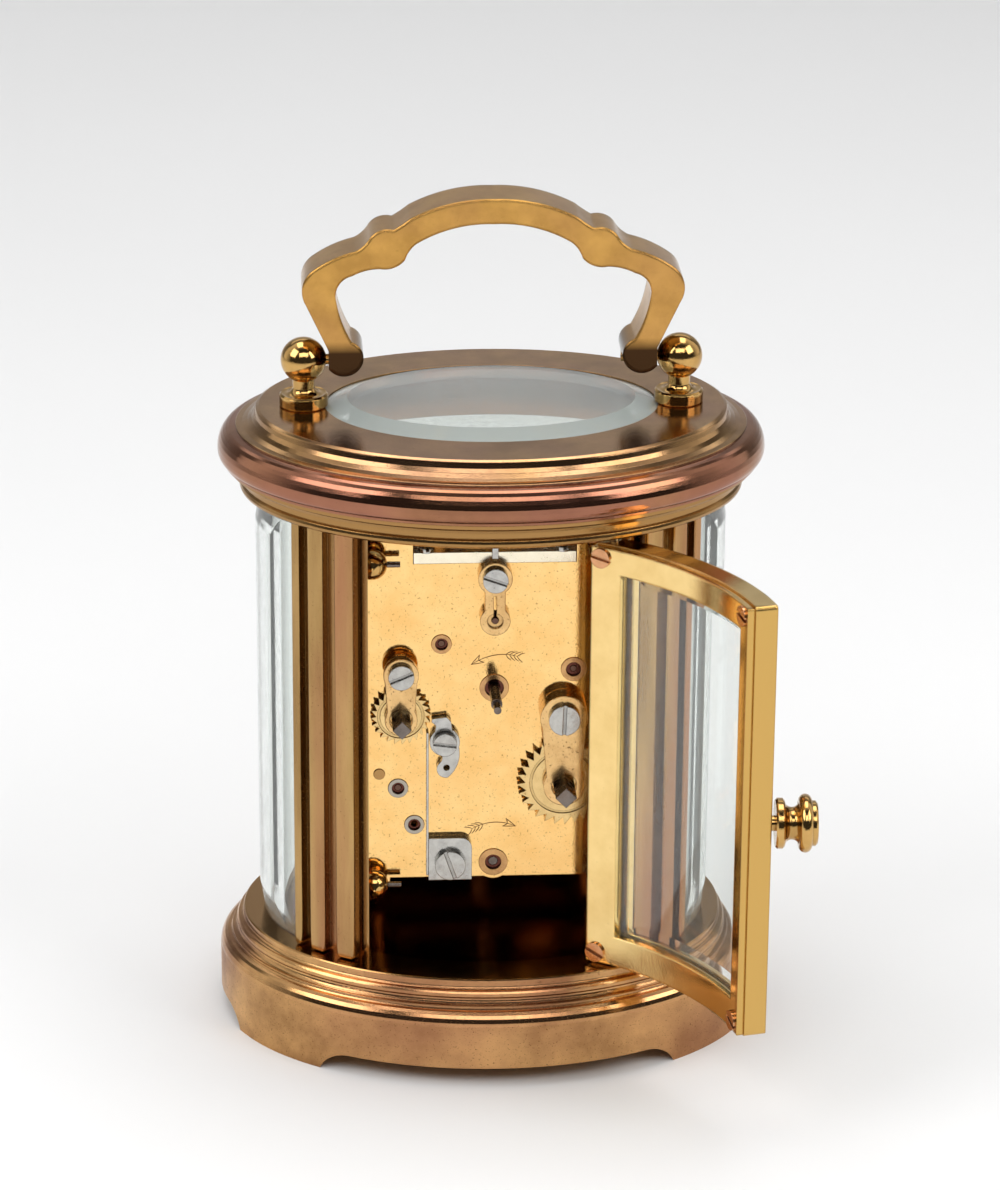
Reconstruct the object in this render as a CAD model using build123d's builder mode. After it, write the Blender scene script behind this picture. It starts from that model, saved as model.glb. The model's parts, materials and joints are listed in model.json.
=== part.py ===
from build123d import *
from math import atan2, cos, hypot, pi, sin, sqrt
import os

os.makedirs("parts", exist_ok=True)

# Oval carriage clock with a swinging bail handle and a curved glass door at the back.
# Millimetres. X runs along the long axis of the oval, Y runs from the dial (-Y) to the
# back door (+Y), Z is up. The origin is at the middle of the footprint, on the ground.

# Plan ovals of the case. Each is named by its half-length along X, and its half-width
# along Y is smaller by the same amount, so that all mouldings run parallel.
oval_difference = 9.6
band_oval = 44.0
floor_oval = band_oval - 3.8
pillar_oval = floor_oval - 1.9
glass_oval = pillar_oval - 0.85
door_oval = pillar_oval - 0.9
rim_oval = pillar_oval + 0.9
girth_oval = band_oval - 0.7
ridge_oval = girth_oval - 6.6
top_opening_length = 26.3
top_opening_width = 18.8

# Heights above the ground.
foot_height = 3.25
band_top = 10.3
floor_top = 17.0
rim_bottom = 89.6
girth_height = 96.3
groove_height = 100.3
top_height = 103.1
pivot_height = 110.6

# Walls and common clearances.
base_wall = 5.2
floor_thickness = 4.2
glass_thickness = 1.75
pillar_thickness = 3.0
reed_height = 1.5
running_clearance = 0.05
moving_gap = 0.3
seat_gap = 0.02
screw_slot_width = 0.55
screw_slot_depth = 0.4


def oval(half_length):
    """Half-length and half-width of one of the parallel plan ovals."""
    return half_length, half_length - oval_difference


def oval_y(half_length, x):
    """Distance of an oval's wall from the long axis at the given X."""
    return (half_length - oval_difference) * sqrt(1 - (x / half_length) ** 2)


def oval_x(half_length, y):
    """Distance of an oval's wall from the short axis at the given Y."""
    return half_length * sqrt(1 - (y / (half_length - oval_difference)) ** 2)


def facing_dial(y):
    """Upright plane at the given Y, with its own x along X and its own y along Z."""
    return Plane.XZ.offset(-y)


def rod(x, z, y_back, y_front, radius):
    """Add a round bar along Y, from its back end to its dial end, to the current part."""
    with BuildSketch(facing_dial(y_back), mode=Mode.PRIVATE) as disc:
        with Locations((x, z)):
            Circle(radius)
    extrude(disc.sketch, amount=y_back - y_front)


def square_rod(x, z, y_back, y_front, side):
    """Add a square bar along Y to the current part."""
    with BuildSketch(facing_dial(y_back), mode=Mode.PRIVATE) as square:
        with Locations((x, z)):
            Rectangle(side, side, rotation=45)
    extrude(square.sketch, amount=y_back - y_front)


def bore(x, z, y_back, y_front, radius):
    """Cut a round hole along Y from the current part."""
    with BuildSketch(facing_dial(y_back), mode=Mode.PRIVATE) as disc:
        with Locations((x, z)):
            Circle(radius)
    extrude(disc.sketch, amount=y_back - y_front, mode=Mode.SUBTRACT)


def post(x, y, z_low, z_high, radius, mode=Mode.ADD):
    """Add or cut a round bar along Z."""
    with BuildSketch(Plane.XY.offset(z_low), mode=Mode.PRIVATE) as disc:
        with Locations((x, y)):
            Circle(radius)
    extrude(disc.sketch, amount=z_high - z_low, mode=mode)


def screw(seat, head_radius, head_height, shank_radius, shank_length, turn=0):
    """Add a slotted screw whose head stands on the seat plane and whose shank goes below it."""
    with BuildSketch(seat, mode=Mode.PRIVATE) as shank:
        Circle(shank_radius)
    extrude(shank.sketch, amount=-shank_length)
    with BuildSketch(seat, mode=Mode.PRIVATE) as head:
        Circle(head_radius)
    extrude(head.sketch, amount=head_height)
    with BuildSketch(seat.offset(head_height), mode=Mode.PRIVATE) as slot:
        Rectangle(2.2 * head_radius, screw_slot_width, rotation=turn)
    extrude(slot.sketch, amount=-screw_slot_depth, mode=Mode.SUBTRACT)


def back_seat(x, y, z):
    """Plane that faces the back door, for a screw or a turned boss."""
    return Plane(origin=(x, y, z), x_dir=(1, 0, 0), z_dir=(0, 1, 0))


def save(part, name):
    """Label a finished piece and write it to its own file."""
    part.label = name
    export_step(part, "parts/" + name + ".step")


def quarter(start, end, upright_first, steps=5):
    """Levels of a quarter round between two (half-length, height) levels.

    The wall leaves its start upright and reaches its end level, or the other way round.
    """
    levels = []
    for step in range(steps + 1):
        turn = pi / 2 * step / steps
        along, across = (1 - cos(turn), sin(turn)) if upright_first else (sin(turn), 1 - cos(turn))
        levels.append((start[0] + (end[0] - start[0]) * along, start[1] + (end[1] - start[1]) * across))
    return levels


def moulding(levels):
    """Solid whose outline is an oval at each (half-length, height) level."""
    with BuildPart() as body:
        for half_length, height in levels:
            with BuildSketch(Plane.XY.offset(height)):
                Ellipse(*oval(half_length))
        loft(ruled=True)
    return body.part


def oval_panel(outer, inner, x_range, y_range, z_range):
    """Upright piece of wall between two ovals, inside a plan rectangle."""
    with BuildPart() as panel:
        with BuildSketch(Plane.XY.offset(z_range[0])):
            Ellipse(*oval(outer))
            Ellipse(*oval(inner), mode=Mode.SUBTRACT)
            with Locations((sum(x_range) / 2, sum(y_range) / 2)):
                Rectangle(x_range[1] - x_range[0], y_range[1] - y_range[0], mode=Mode.INTERSECT)
        extrude(amount=z_range[1] - z_range[0])
    return panel.part


# Base plinth: a moulded oval on four feet, with a polished floor over a hollow.
front_arch_half = 28.4
end_arch_half = 12.3
arch_end_width = 4.6
bead_oval = band_oval - 2.7
cove_oval = band_oval - 1.9
step_height = 1.1
floor_under = floor_top - floor_thickness
hollow_oval = band_oval - base_wall

base_levels = [(band_oval, 0), (band_oval, band_top)]
base_levels += quarter((band_oval, band_top + 0.05), (cove_oval + 0.2, band_top + 2.4), True)
base_levels += [(cove_oval, band_top + 2.6), (cove_oval, band_top + 2.9)]
base_levels += quarter((cove_oval - 0.05, band_top + 3.0), (bead_oval - 0.2, band_top + 3.9), False)
base_levels += [(bead_oval, band_top + 4.2), (bead_oval, band_top + 4.7), (bead_oval - 0.2, band_top + 5.0)]
base_levels += quarter((bead_oval - 0.3, band_top + 5.1), (floor_oval, floor_top - step_height), False)
base_levels += [(floor_oval, floor_top - 0.2), (floor_oval - 0.2, floor_top)]

with BuildPart() as base_plinth:
    add(moulding(base_levels))
    with BuildSketch(Plane.XY):
        Ellipse(*oval(hollow_oval))
    extrude(amount=floor_under, mode=Mode.SUBTRACT)
    for arch_half, arch_plane in ((front_arch_half, Plane.XZ), (end_arch_half, Plane.YZ)):
        with BuildSketch(arch_plane):
            with BuildLine():
                arch_shoulder = arch_half - arch_end_width
                Line((-arch_half, 0), (arch_half, 0))
                for side in (-1, 1):
                    arch_bend = (side * (arch_half - 0.28 * arch_end_width), 0.6 * foot_height)
                    ThreePointArc((side * arch_half, 0), arch_bend, (side * arch_shoulder, foot_height))
                Line((-arch_shoulder, foot_height), (arch_shoulder, foot_height))
            make_face()
        extrude(amount=2 * band_oval, both=True, mode=Mode.SUBTRACT)

# Cornice ring: the moulded oval that the pillars carry.
cove_in = rim_oval + 0.4
cove_lip = girth_oval - 1.7
groove_oval = girth_oval - 2.9
ring_top = groove_height - 0.15
cornice_bore_length = top_opening_length + 1.7
cornice_bore_width = top_opening_width + 1.7

cornice_levels = [(rim_oval, rim_bottom), (rim_oval + 0.55, rim_bottom + 0.4)]
cornice_levels += [(rim_oval + 0.7, rim_bottom + 0.85), (rim_oval + 0.55, rim_bottom + 1.3)]
cornice_levels += [(cove_in - 0.2, rim_bottom + 1.65), (cove_in, rim_bottom + 1.75)]
cornice_levels += quarter((cove_in, rim_bottom + 2.0), (cove_lip, rim_bottom + 3.9), True)
cornice_levels += [(cove_lip + 0.05, rim_bottom + 4.5), (cove_lip + 0.8, rim_bottom + 4.8)]
cornice_levels += [(cove_lip + 0.9, rim_bottom + 5.2)]
cornice_levels += quarter((cove_lip + 0.8, rim_bottom + 5.3), (girth_oval, girth_height), False)
cornice_levels += quarter((girth_oval, girth_height + 0.05), (groove_oval + 0.5, ring_top - 0.25), True, 7)
cornice_levels += [(groove_oval, ring_top - 0.15), (groove_oval, ring_top)]

finial_x = 29.6
stud_radius = 1.1
stud_foot = ring_top - 1.6
cornice_hollow_oval = pillar_oval - reed_height - pillar_thickness
cornice_web = 1.75
glass_sink = 0.2

with BuildPart() as cornice_ring:
    add(moulding(cornice_levels))
    with BuildSketch(Plane.XY.offset(rim_bottom)):
        Ellipse(cornice_bore_length, cornice_bore_width)
    extrude(amount=ring_top - rim_bottom, mode=Mode.SUBTRACT)
    with BuildSketch(Plane.XY.offset(rim_bottom)):
        Ellipse(*oval(cornice_hollow_oval))
    extrude(amount=ring_top - cornice_web - rim_bottom, mode=Mode.SUBTRACT)

# Top plate: it lies on the cornice ring and traps the bevelled top glass by its lip.
glass_lip_under = top_height - 1.8
glass_flange = 1.4

top_levels = [(groove_oval, ring_top), (groove_oval, groove_height)]
top_levels += quarter((groove_oval - 0.1, groove_height + 0.05), (ridge_oval + 0.6, top_height - 0.5), False)
top_levels += [(ridge_oval + 0.5, top_height - 0.25), (ridge_oval, top_height)]

with BuildPart() as top_plate:
    add(moulding(top_levels))
    with BuildSketch(Plane.XY.offset(ring_top)):
        Ellipse(top_opening_length, top_opening_width)
    extrude(amount=top_height - ring_top, mode=Mode.SUBTRACT)
    with BuildSketch(Plane.XY.offset(ring_top)):
        Ellipse(top_opening_length + glass_flange, top_opening_width + glass_flange)
    extrude(amount=glass_lip_under - ring_top, mode=Mode.SUBTRACT)

# Bevelled oval glass in the top, with its retaining ring in the cornice.
top_bevel_width = 3.6
top_bevel_start = top_height - 0.2
top_glass_height = top_height + 1.1
glass_gap = 0.1

with BuildPart() as top_glass:
    flange_length = top_opening_length + glass_flange - glass_gap
    flange_width = top_opening_width + glass_flange - glass_gap
    with BuildSketch(Plane.XY.offset(ring_top - glass_sink)):
        Ellipse(flange_length, flange_width)
    extrude(amount=glass_lip_under - ring_top + glass_sink - glass_gap)
    with BuildSketch(Plane.XY.offset(ring_top - glass_sink)):
        Ellipse(top_opening_length - glass_gap, top_opening_width - glass_gap)
    extrude(amount=top_bevel_start - ring_top + glass_sink)
    with BuildSketch(Plane.XY.offset(top_bevel_start)):
        Ellipse(top_opening_length - glass_gap, top_opening_width - glass_gap)
    with BuildSketch(Plane.XY.offset(top_glass_height)):
        Ellipse(top_opening_length - top_bevel_width, top_opening_width - top_bevel_width)
    loft(ruled=True)

retainer_height = 1.5
glass_retainer_width = 2.8

with BuildPart() as top_glass_retainer:
    with BuildSketch(Plane.XY.offset(ring_top - glass_sink - retainer_height)):
        Ellipse(cornice_bore_length, cornice_bore_width)
        retainer_length = cornice_bore_length - glass_retainer_width
        retainer_width = cornice_bore_width - glass_retainer_width
        Ellipse(retainer_length, retainer_width, mode=Mode.SUBTRACT)
    extrude(amount=retainer_height)

# Four reeded pillars. Each is a slab of the oval wall with thin lips that hold the glasses.
back_opening_half = 22.1
side_opening_half = 14.2
glass_lip = 1.8
slab_oval = pillar_oval - reed_height
lip_oval = glass_oval - glass_thickness - 0.05
pillar_inner_oval = pillar_oval - reed_height - pillar_thickness
reed_foot = floor_top + 0.15
reed_corner = 0.7
reed_root = 0.4
reed_round = 0.45
reed_places = ((0.905, 1.65), (0.594, 3.0), (0.145, 3.3))


def reed(share, width):
    """Reed on a pillar, at a share of the way from the door's edge to the side glass's edge."""
    x = back_opening_half + share * (oval_x(slab_oval, side_opening_half) - back_opening_half)
    y = oval_y(slab_oval, x)
    out = Vector(x / slab_oval ** 2, y / (slab_oval - oval_difference) ** 2, 0).normalized()
    head = rim_bottom + width
    seat = Plane(origin=(x, y, (reed_foot + head) / 2), x_dir=(0, 0, 1), z_dir=out)
    with BuildPart() as bar:
        with BuildSketch(seat.offset(-reed_root)):
            RectangleRounded(head - reed_foot, width, reed_corner)
        extrude(amount=reed_root + reed_height)
        fillet(bar.faces().sort_by(Axis((0, 0, 0), out))[-1].edges(), reed_round)
        with BuildSketch(Plane.XY.offset(rim_bottom)):
            Rectangle(2 * band_oval, 2 * band_oval)
        extrude(amount=2 * width, mode=Mode.SUBTRACT)
    return bar.part


with BuildPart() as pillar_corner:
    z_span = (floor_top, rim_bottom)
    far = (band_oval, band_oval)
    add(oval_panel(slab_oval, pillar_inner_oval, (back_opening_half, far[0]), (side_opening_half, far[1]), z_span))
    lip_x = (back_opening_half - glass_lip, far[0])
    lip_y = (side_opening_half - glass_lip, far[1])
    add(oval_panel(lip_oval, pillar_inner_oval, lip_x, lip_y, z_span))
    for reed_share, reed_width in reed_places:
        add(reed(reed_share, reed_width))

# Curved bevelled glasses between the pillars.
side_bevel_width = 4.8
glass_bevel_depth = 0.75


def tapered_wall(outer, z_range, width):
    """Oval solid whose top and bottom edges slope in, which bevels a curved glass."""
    low, high = z_range
    return moulding([
        (outer - glass_bevel_depth, low),
        (outer, low + width),
        (outer, high - width),
        (outer - glass_bevel_depth, high),
    ])


def curved_glass(outer, thickness, half_span, faces_x, z_range, width):
    """Bevelled piece of the oval wall, centred on +X if faces_x, else on +Y."""
    span, reach = (-half_span, half_span), (0, band_oval)
    x_range, y_range = (reach, span) if faces_x else (span, reach)
    with BuildPart() as glass:
        add(oval_panel(outer, outer - thickness, x_range, y_range, z_range))
        add(tapered_wall(outer, z_range, width), mode=Mode.INTERSECT)
        for side in (-1, 1):
            inside, edge = side * (half_span - width), side * half_span
            if faces_x:
                start = Vector(oval_x(outer, inside), inside)
                end = Vector(oval_x(outer - glass_bevel_depth, edge), edge)
            else:
                start = Vector(inside, oval_y(outer, inside))
                end = Vector(edge, oval_y(outer - glass_bevel_depth, edge))
            along = (end - start).normalized()
            out = Vector(-along.Y, along.X)
            if out.dot(start) < 0:
                out = -out
            with BuildSketch(Plane.XY.offset(z_range[0])):
                with BuildLine():
                    Polyline(start, end + along, end + along + 4 * out, start + 4 * out, close=True)
                make_face()
            extrude(amount=z_range[1] - z_range[0], mode=Mode.SUBTRACT)
    return glass.part


glass_span = (floor_top, rim_bottom)
side_glass_half = side_opening_half - 0.05
front_glass_half = back_opening_half - 0.05
side_glass = curved_glass(glass_oval, glass_thickness, side_glass_half, True, glass_span, side_bevel_width)
front_glass = curved_glass(glass_oval, glass_thickness, front_glass_half, False, glass_span, side_bevel_width)

# Ball finials. Their studs go through the top plate into the cornice ring, and each ball
# carries the pin that the handle swings on.
ball_radius = 3.6
disc_radius = 3.85
disc_height = 2.1
neck_radius = 1.75
pin_radius = 0.85
lobe_outer = finial_x - ball_radius - moving_gap
lobe_width = 5.4
lobe_inner = lobe_outer - lobe_width

with BuildPart() as finials:
    finial_plane = Plane(origin=(finial_x, 0, 0), x_dir=(1, 0, 0), z_dir=(0, -1, 0))
    neck_start = top_height + disc_height + 0.9
    ball_join = pivot_height - sqrt(ball_radius ** 2 - neck_radius ** 2)
    with BuildSketch(finial_plane):
        with BuildLine():
            Polyline((0, stud_foot), (stud_radius, stud_foot), (stud_radius, top_height))
            Polyline((stud_radius, top_height), (disc_radius - 0.2, top_height), (disc_radius, top_height + 0.2))
            Line((disc_radius, top_height + 0.2), (disc_radius, top_height + disc_height - 0.3))
            shoulder = (disc_radius - 0.3, top_height + disc_height)
            Line((disc_radius, top_height + disc_height - 0.3), shoulder)
            neck_bend = (neck_radius + 0.35, top_height + disc_height + 0.25)
            ThreePointArc(shoulder, neck_bend, (neck_radius, neck_start))
            Line((neck_radius, neck_start), (neck_radius, ball_join))
            ThreePointArc((neck_radius, ball_join), (ball_radius, pivot_height), (0, pivot_height + ball_radius))
            Line((0, pivot_height + ball_radius), (0, stud_foot))
        make_face()
    revolve(axis=Axis((finial_x, 0, 0), (0, 0, 1)))
    with BuildSketch(Plane.YZ.offset(lobe_inner)):
        with Locations((0, pivot_height)):
            Circle(pin_radius)
    extrude(amount=finial_x - lobe_inner)
    mirror(about=Plane.YZ)

for ring in (cornice_ring, top_plate):
    with ring:
        for side in (-1, 1):
            post(side * finial_x, 0, stud_foot, top_height, stud_radius, Mode.SUBTRACT)

# Bail handle: one flat bar, symmetric about the middle, that swings on the finials.
crown = 137.5
crown_thickness = 3.95
handle_depth = 8.2

with BuildPart() as handle:
    with BuildSketch(Plane.XZ):
        with BuildLine():
            crown_end = (13.0, crown - 3.0)
            knuckle_start = (15.6, crown - 4.8)
            knuckle_end = (19.2, crown - 6.0)
            shoulder_start = (21.5, crown - 8.2)
            shoulder_end = (28.2, crown - 11.3)
            leg_top = (29.2, crown - 16.8)
            ThreePointArc((0, crown), (6.9, crown - 0.7), crown_end)
            ThreePointArc(crown_end, (14.4, crown - 4.05), knuckle_start)
            ThreePointArc(knuckle_start, (17.6, crown - 4.85), knuckle_end)
            ThreePointArc(knuckle_end, (20.1, crown - 7.2), shoulder_start)
            ThreePointArc(shoulder_start, (25.6, crown - 9.7), shoulder_end)
            ThreePointArc(shoulder_end, (29.8, crown - 14.4), leg_top)
            lobe_corner = (lobe_outer, pivot_height - 0.4)
            Polyline(leg_top, (lobe_outer, pivot_height + 2.6), lobe_corner)
            lobe_side = (lobe_inner + 0.2, pivot_height + 0.3)
            lobe_top = (lobe_inner + 1.8, pivot_height + 4.0)
            ThreePointArc(lobe_corner, (lobe_outer - lobe_width / 2, pivot_height - 1.55), lobe_side)
            ThreePointArc(lobe_side, (lobe_inner, pivot_height + 1.8), lobe_top)
            leg_inner = (24.5, crown - 16.1)
            underside_start = (22.0, crown - 12.1)
            underside_end = (17.7, crown - 11.0)
            notch = (13.8, crown - 9.6)
            inner_end = (12.0, crown - 7.0)
            inner_crown = (0, crown - crown_thickness)
            ThreePointArc(lobe_top, (23.4, pivot_height + 6.7), leg_inner)
            ThreePointArc(leg_inner, (24.3, crown - 14.0), underside_start)
            ThreePointArc(underside_start, (20.0, crown - 11.3), underside_end)
            ThreePointArc(underside_end, (15.2, crown - 10.7), notch)
            ThreePointArc(notch, (13.2, crown - 8.3), inner_end)
            ThreePointArc(inner_end, (6.8, crown - crown_thickness - 0.8), inner_crown)
            Line(inner_crown, (0, crown))
        make_face()
        mirror(about=Plane.YZ)
    extrude(amount=handle_depth / 2, both=True)
    with BuildSketch(Plane.YZ.offset(-finial_x)):
        with Locations((0, pivot_height)):
            Circle(pin_radius + running_clearance)
    extrude(amount=2 * finial_x, mode=Mode.SUBTRACT)

# Back door, made closed and then swung open about its two pins.
door_half = 18.8
door_bottom = floor_top + 0.35
door_top = rim_bottom - 1.2
door_free_x = 18.75
door_frame_depth = 3.5
door_lip_depth = 1.3
door_stile = 4.9
door_top_rail = 4.35
door_bottom_rail = 5.3
rebate_lip = 1.5
door_bevel_width = 3.4
retainer_thickness = 1.15
retainer_margin = 0.3
hinge_x = -17.8
hinge_y = 23.15
hinge_pin_radius = 0.75
hinge_pin_grip = 1.2
hinge_pin_seat = 2.5
door_open_angle = 125.8

door_reach = (0, band_oval)
door_window = (door_bottom + door_bottom_rail, door_top - door_top_rail)
window_half = door_half - door_stile
rebate_outer = door_oval - door_lip_depth
frame_inner = door_oval - door_frame_depth
rebate_window = (door_window[0] - rebate_lip, door_window[1] + rebate_lip)
door_glass_thickness = door_frame_depth - door_lip_depth - glass_gap
hinge_line = Axis((hinge_x, hinge_y, 0), (0, 0, 1))
free_y = oval_y(door_oval, door_free_x)
free_out = Vector(door_free_x / door_oval ** 2, free_y / (door_oval - oval_difference) ** 2, 0).normalized()
free_side = Vector(free_out.Y, -free_out.X, 0)


def slab_cut(half_span, z_range, outer, inner):
    """Cut a window through the curved wall of the current part."""
    add(oval_panel(outer, inner, (-half_span, half_span), door_reach, z_range), mode=Mode.SUBTRACT)


def free_end_cut(margin):
    """Cut the free end of the current door part square to the curve of the door."""
    outer_corner = Vector(door_free_x, free_y, door_bottom) - margin * free_side
    far_end = 3 * door_frame_depth * free_out
    away = door_half * free_side
    with BuildSketch(Plane.XY.offset(door_bottom), mode=Mode.PRIVATE) as beyond:
        with BuildLine():
            near = (outer_corner + far_end, outer_corner - far_end)
            Polyline(*near, near[1] + away, near[0] + away, close=True)
        make_face()
    extrude(beyond.sketch, amount=door_top - door_bottom, mode=Mode.SUBTRACT)


with BuildPart() as door_frame:
    add(oval_panel(door_oval, frame_inner, (-door_half, door_free_x), door_reach, (door_bottom, door_top)))
    free_end_cut(0)
    corners = door_frame.edges().filter_by(GeomType.LINE).filter_by(Axis.Z, reverse=True)
    fillet(corners, 0.6)
    slab_cut(window_half, door_window, door_oval + 1, frame_inner - 1)
    slab_cut(window_half + rebate_lip, rebate_window, rebate_outer, frame_inner - 1)
    post(hinge_x, hinge_y, door_top - hinge_pin_grip, door_top, hinge_pin_radius, Mode.SUBTRACT)
    post(hinge_x, hinge_y, door_bottom, door_bottom + hinge_pin_grip, hinge_pin_radius, Mode.SUBTRACT)

door_glass_half = window_half + rebate_lip - glass_gap
door_glass_span = (rebate_window[0] + glass_gap, rebate_window[1] - glass_gap)
door_glass = curved_glass(
    rebate_outer - glass_gap / 2, door_glass_thickness, door_glass_half, False, door_glass_span, door_bevel_width
)

retainer_outer = frame_inner - seat_gap
retainer_inner = retainer_outer - retainer_thickness
retainer_half = door_half - retainer_margin
retainer_span = (door_bottom + retainer_margin, door_top - retainer_margin)

with BuildPart() as door_retainer:
    add(oval_panel(retainer_outer, retainer_inner, (-retainer_half, door_free_x), door_reach, retainer_span))
    free_end_cut(retainer_margin)
    slab_cut(window_half, door_window, door_oval, retainer_inner - 1)

with BuildPart() as door_pins:
    post(hinge_x, hinge_y, floor_top - hinge_pin_seat, door_bottom + hinge_pin_grip, hinge_pin_radius)
    post(hinge_x, hinge_y, door_top - hinge_pin_grip, rim_bottom + hinge_pin_seat, hinge_pin_radius)

with base_plinth:
    pin_hole = hinge_pin_radius + running_clearance
    pin_hole_depth = hinge_pin_seat + 0.1
    post(hinge_x, hinge_y, floor_top - pin_hole_depth, floor_top, pin_hole, Mode.SUBTRACT)

with cornice_ring:
    post(hinge_x, hinge_y, rim_bottom, rim_bottom + pin_hole_depth, pin_hole, Mode.SUBTRACT)

door_screw_places = (-door_half + 1.8, door_free_x - 4.0)
door_screw_inset = 2.0
door_screw_head = 1.6

with BuildPart() as door_screws:
    for seat_x in door_screw_places:
        seat_y = oval_y(retainer_inner, seat_x)
        inner_a, inner_b = oval(retainer_inner)
        inward = Vector(-seat_x / inner_a ** 2, -seat_y / inner_b ** 2, 0).normalized()
        for seat_z, turn in ((door_bottom + door_screw_inset, 69), (door_top - door_screw_inset, 81)):
            screw(
                Plane(origin=(seat_x, seat_y, seat_z), x_dir=(0, 0, 1), z_dir=inward),
                door_screw_head, 0.45, 0.55, 2.4, turn,
            )

for piece in (door_frame, door_retainer):
    with piece:
        add(door_screws.part, mode=Mode.SUBTRACT)

knob_x = door_free_x - 2.6
knob_y = oval_y(door_oval, knob_x)
knob_z = (door_bottom + door_top) / 2 - 1.0
knob_heading = 52
knob_out = Vector(1, 0, 0).rotate(Axis.Z, knob_heading)
knob_stem_radius = 1.2
knob_stem = 1.5
knob_collar = 3.9
knob_neck = 2.5
knob_head = 4.5
knob_length = knob_stem + 6.4

with BuildPart() as door_knob:
    knob_plane = Plane(origin=(knob_x, knob_y, knob_z), x_dir=(0, 0, 1), z_dir=Vector(0, 0, 1).cross(knob_out))
    with BuildSketch(knob_plane):
        with BuildLine():
            cap = knob_head - 1.0
            Polyline((0, -1.1), (knob_stem_radius, -1.1), (knob_stem_radius, knob_stem))
            Line((knob_stem_radius, knob_stem), (knob_collar - 0.3, knob_stem))
            Polyline((knob_collar - 0.3, knob_stem), (knob_collar, knob_stem + 0.3), (knob_collar, knob_stem + 1.1))
            waist_start = (knob_collar - 0.3, knob_stem + 1.4)
            waist_end = (knob_neck + 0.7, knob_stem + 3.6)
            Line((knob_collar, knob_stem + 1.1), waist_start)
            ThreePointArc(waist_start, (knob_neck, knob_stem + 2.5), waist_end)
            ThreePointArc(waist_end, (knob_head, knob_stem + 4.7), (knob_head - 0.6, knob_stem + 5.5))
            Polyline((knob_head - 0.6, knob_stem + 5.5), (cap, knob_stem + 5.55), (cap, knob_length - 0.3))
            Polyline((cap, knob_length - 0.3), (cap - 0.3, knob_length), (0, knob_length), (0, -1.1))
        make_face()
    revolve(axis=Axis((knob_x, knob_y, knob_z), knob_out))

with door_frame:
    add(door_knob.part, mode=Mode.SUBTRACT)


# Movement: two plates on legs, four pillars between them, pinned behind the back plate.
plate_half = 22.0
plate_foot = 26.6
ear_top = 86.0
platform_under = 80.6
notch_half = 12.9
plate_thickness = 1.6
back_face = 12.0
front_back_face = -8.2
leg_width = 2.0
plate_gap = 0.2
front_face = front_back_face - plate_thickness
inner_face = back_face - plate_thickness

barrel_at = (-11.1, 43.5)
intermediate_at = (-12.6, 62.4)
centre_at = (0, 59.4)
fourth_at = (8.4, 67.0)
contrate_at = (0, 71.4)
alarm_barrel_at = (14.9, 55.3)
alarm_wheel_at = (15.3, 42.3)
hammer_at = (12.7, 35.9)
alarm_set_at = (0, 29.1)
minute_stud_at = (6.2, 55.8)
upper_pillar = (19.4, 81.5)
lower_pillar = (19.3, 26.5)
pillar_places = [(side * x, z) for x, z in (upper_pillar, lower_pillar) for side in (-1, 1)]

arbor_radius = 0.9
pivot_radius = 0.5
pivot_hole = pivot_radius + running_clearance


def plate(y_back):
    """One movement plate, with its rear face at the given Y."""
    with BuildPart() as body:
        with BuildSketch(facing_dial(y_back)):
            with BuildLine():
                Polyline(
                    (0, plate_foot),
                    (plate_half - leg_width, plate_foot),
                    (plate_half - leg_width, floor_top),
                    (plate_half, floor_top),
                    (plate_half, ear_top),
                    (notch_half + 0.7, ear_top),
                    (notch_half, ear_top - 0.8),
                    (notch_half, platform_under),
                    (0, platform_under),
                )
                mirror(about=Plane.YZ)
            make_face()
            with Locations(alarm_set_at):
                Circle(2.9)
            with Locations((-lower_pillar[0], lower_pillar[1]), lower_pillar):
                Circle(2.7)
        extrude(amount=plate_thickness)
    return body.part


pillar_body_radius = 2.2
pillar_core_radius = 1.3
acorn_radius = 2.4
acorn_length = 4.9
acorn_neck = 1.5
pin_y = back_face + acorn_length / 2

with BuildPart() as plate_pillars:
    for x, z in pillar_places:
        rod(x, z, inner_face, front_back_face, pillar_body_radius)
        rod(x, z, back_face, front_face, pillar_core_radius)
        with BuildSketch(Plane(origin=(x, back_face, z)), mode=Mode.PRIVATE) as acorn:
            with BuildLine():
                Polyline((0, acorn_length), (0, 0), (acorn_neck, 0), (acorn_neck, 0.7))
                ThreePointArc((acorn_neck, 0.7), (acorn_radius, acorn_length / 2), (1.1, acorn_length - 0.4))
                Line((1.1, acorn_length - 0.4), (0, acorn_length))
            make_face()
        revolve(acorn.sketch, axis=Axis((x, back_face, z), (0, 1, 0)))

with BuildPart() as taper_pins:
    for x, z in pillar_places:
        side = 1 if x > 0 else -1
        with BuildSketch(Plane(origin=(x + side * 1.8, pin_y, z), z_dir=(-side, 0, 0))):
            Circle(0.55)
        extrude(amount=6.2, taper=0.8)

with plate_pillars:
    add(taper_pins.part, mode=Mode.SUBTRACT)

bar_height = 3.0

with BuildPart() as movement_bars:
    with BuildSketch(facing_dial(inner_face)):
        with Locations((plate_half - leg_width / 2, floor_top + bar_height / 2)):
            Rectangle(leg_width, bar_height)
    extrude(amount=inner_face - front_back_face)
    mirror(about=Plane.YZ)

# Screws of the case: up through the floor into the side bars of the movement.
with BuildPart() as case_screws:
    for x in (-1, 1):
        for y in (front_back_face + 3.5, inner_face - 3.5):
            seat = Plane(origin=(x * (plate_half - leg_width / 2), y, floor_under), z_dir=(0, 0, -1))
            screw(seat, 1.9, 1.2, 0.7, floor_thickness + 2.4, 30 * y)

with base_plinth:
    add(case_screws.part, mode=Mode.SUBTRACT)

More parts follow.
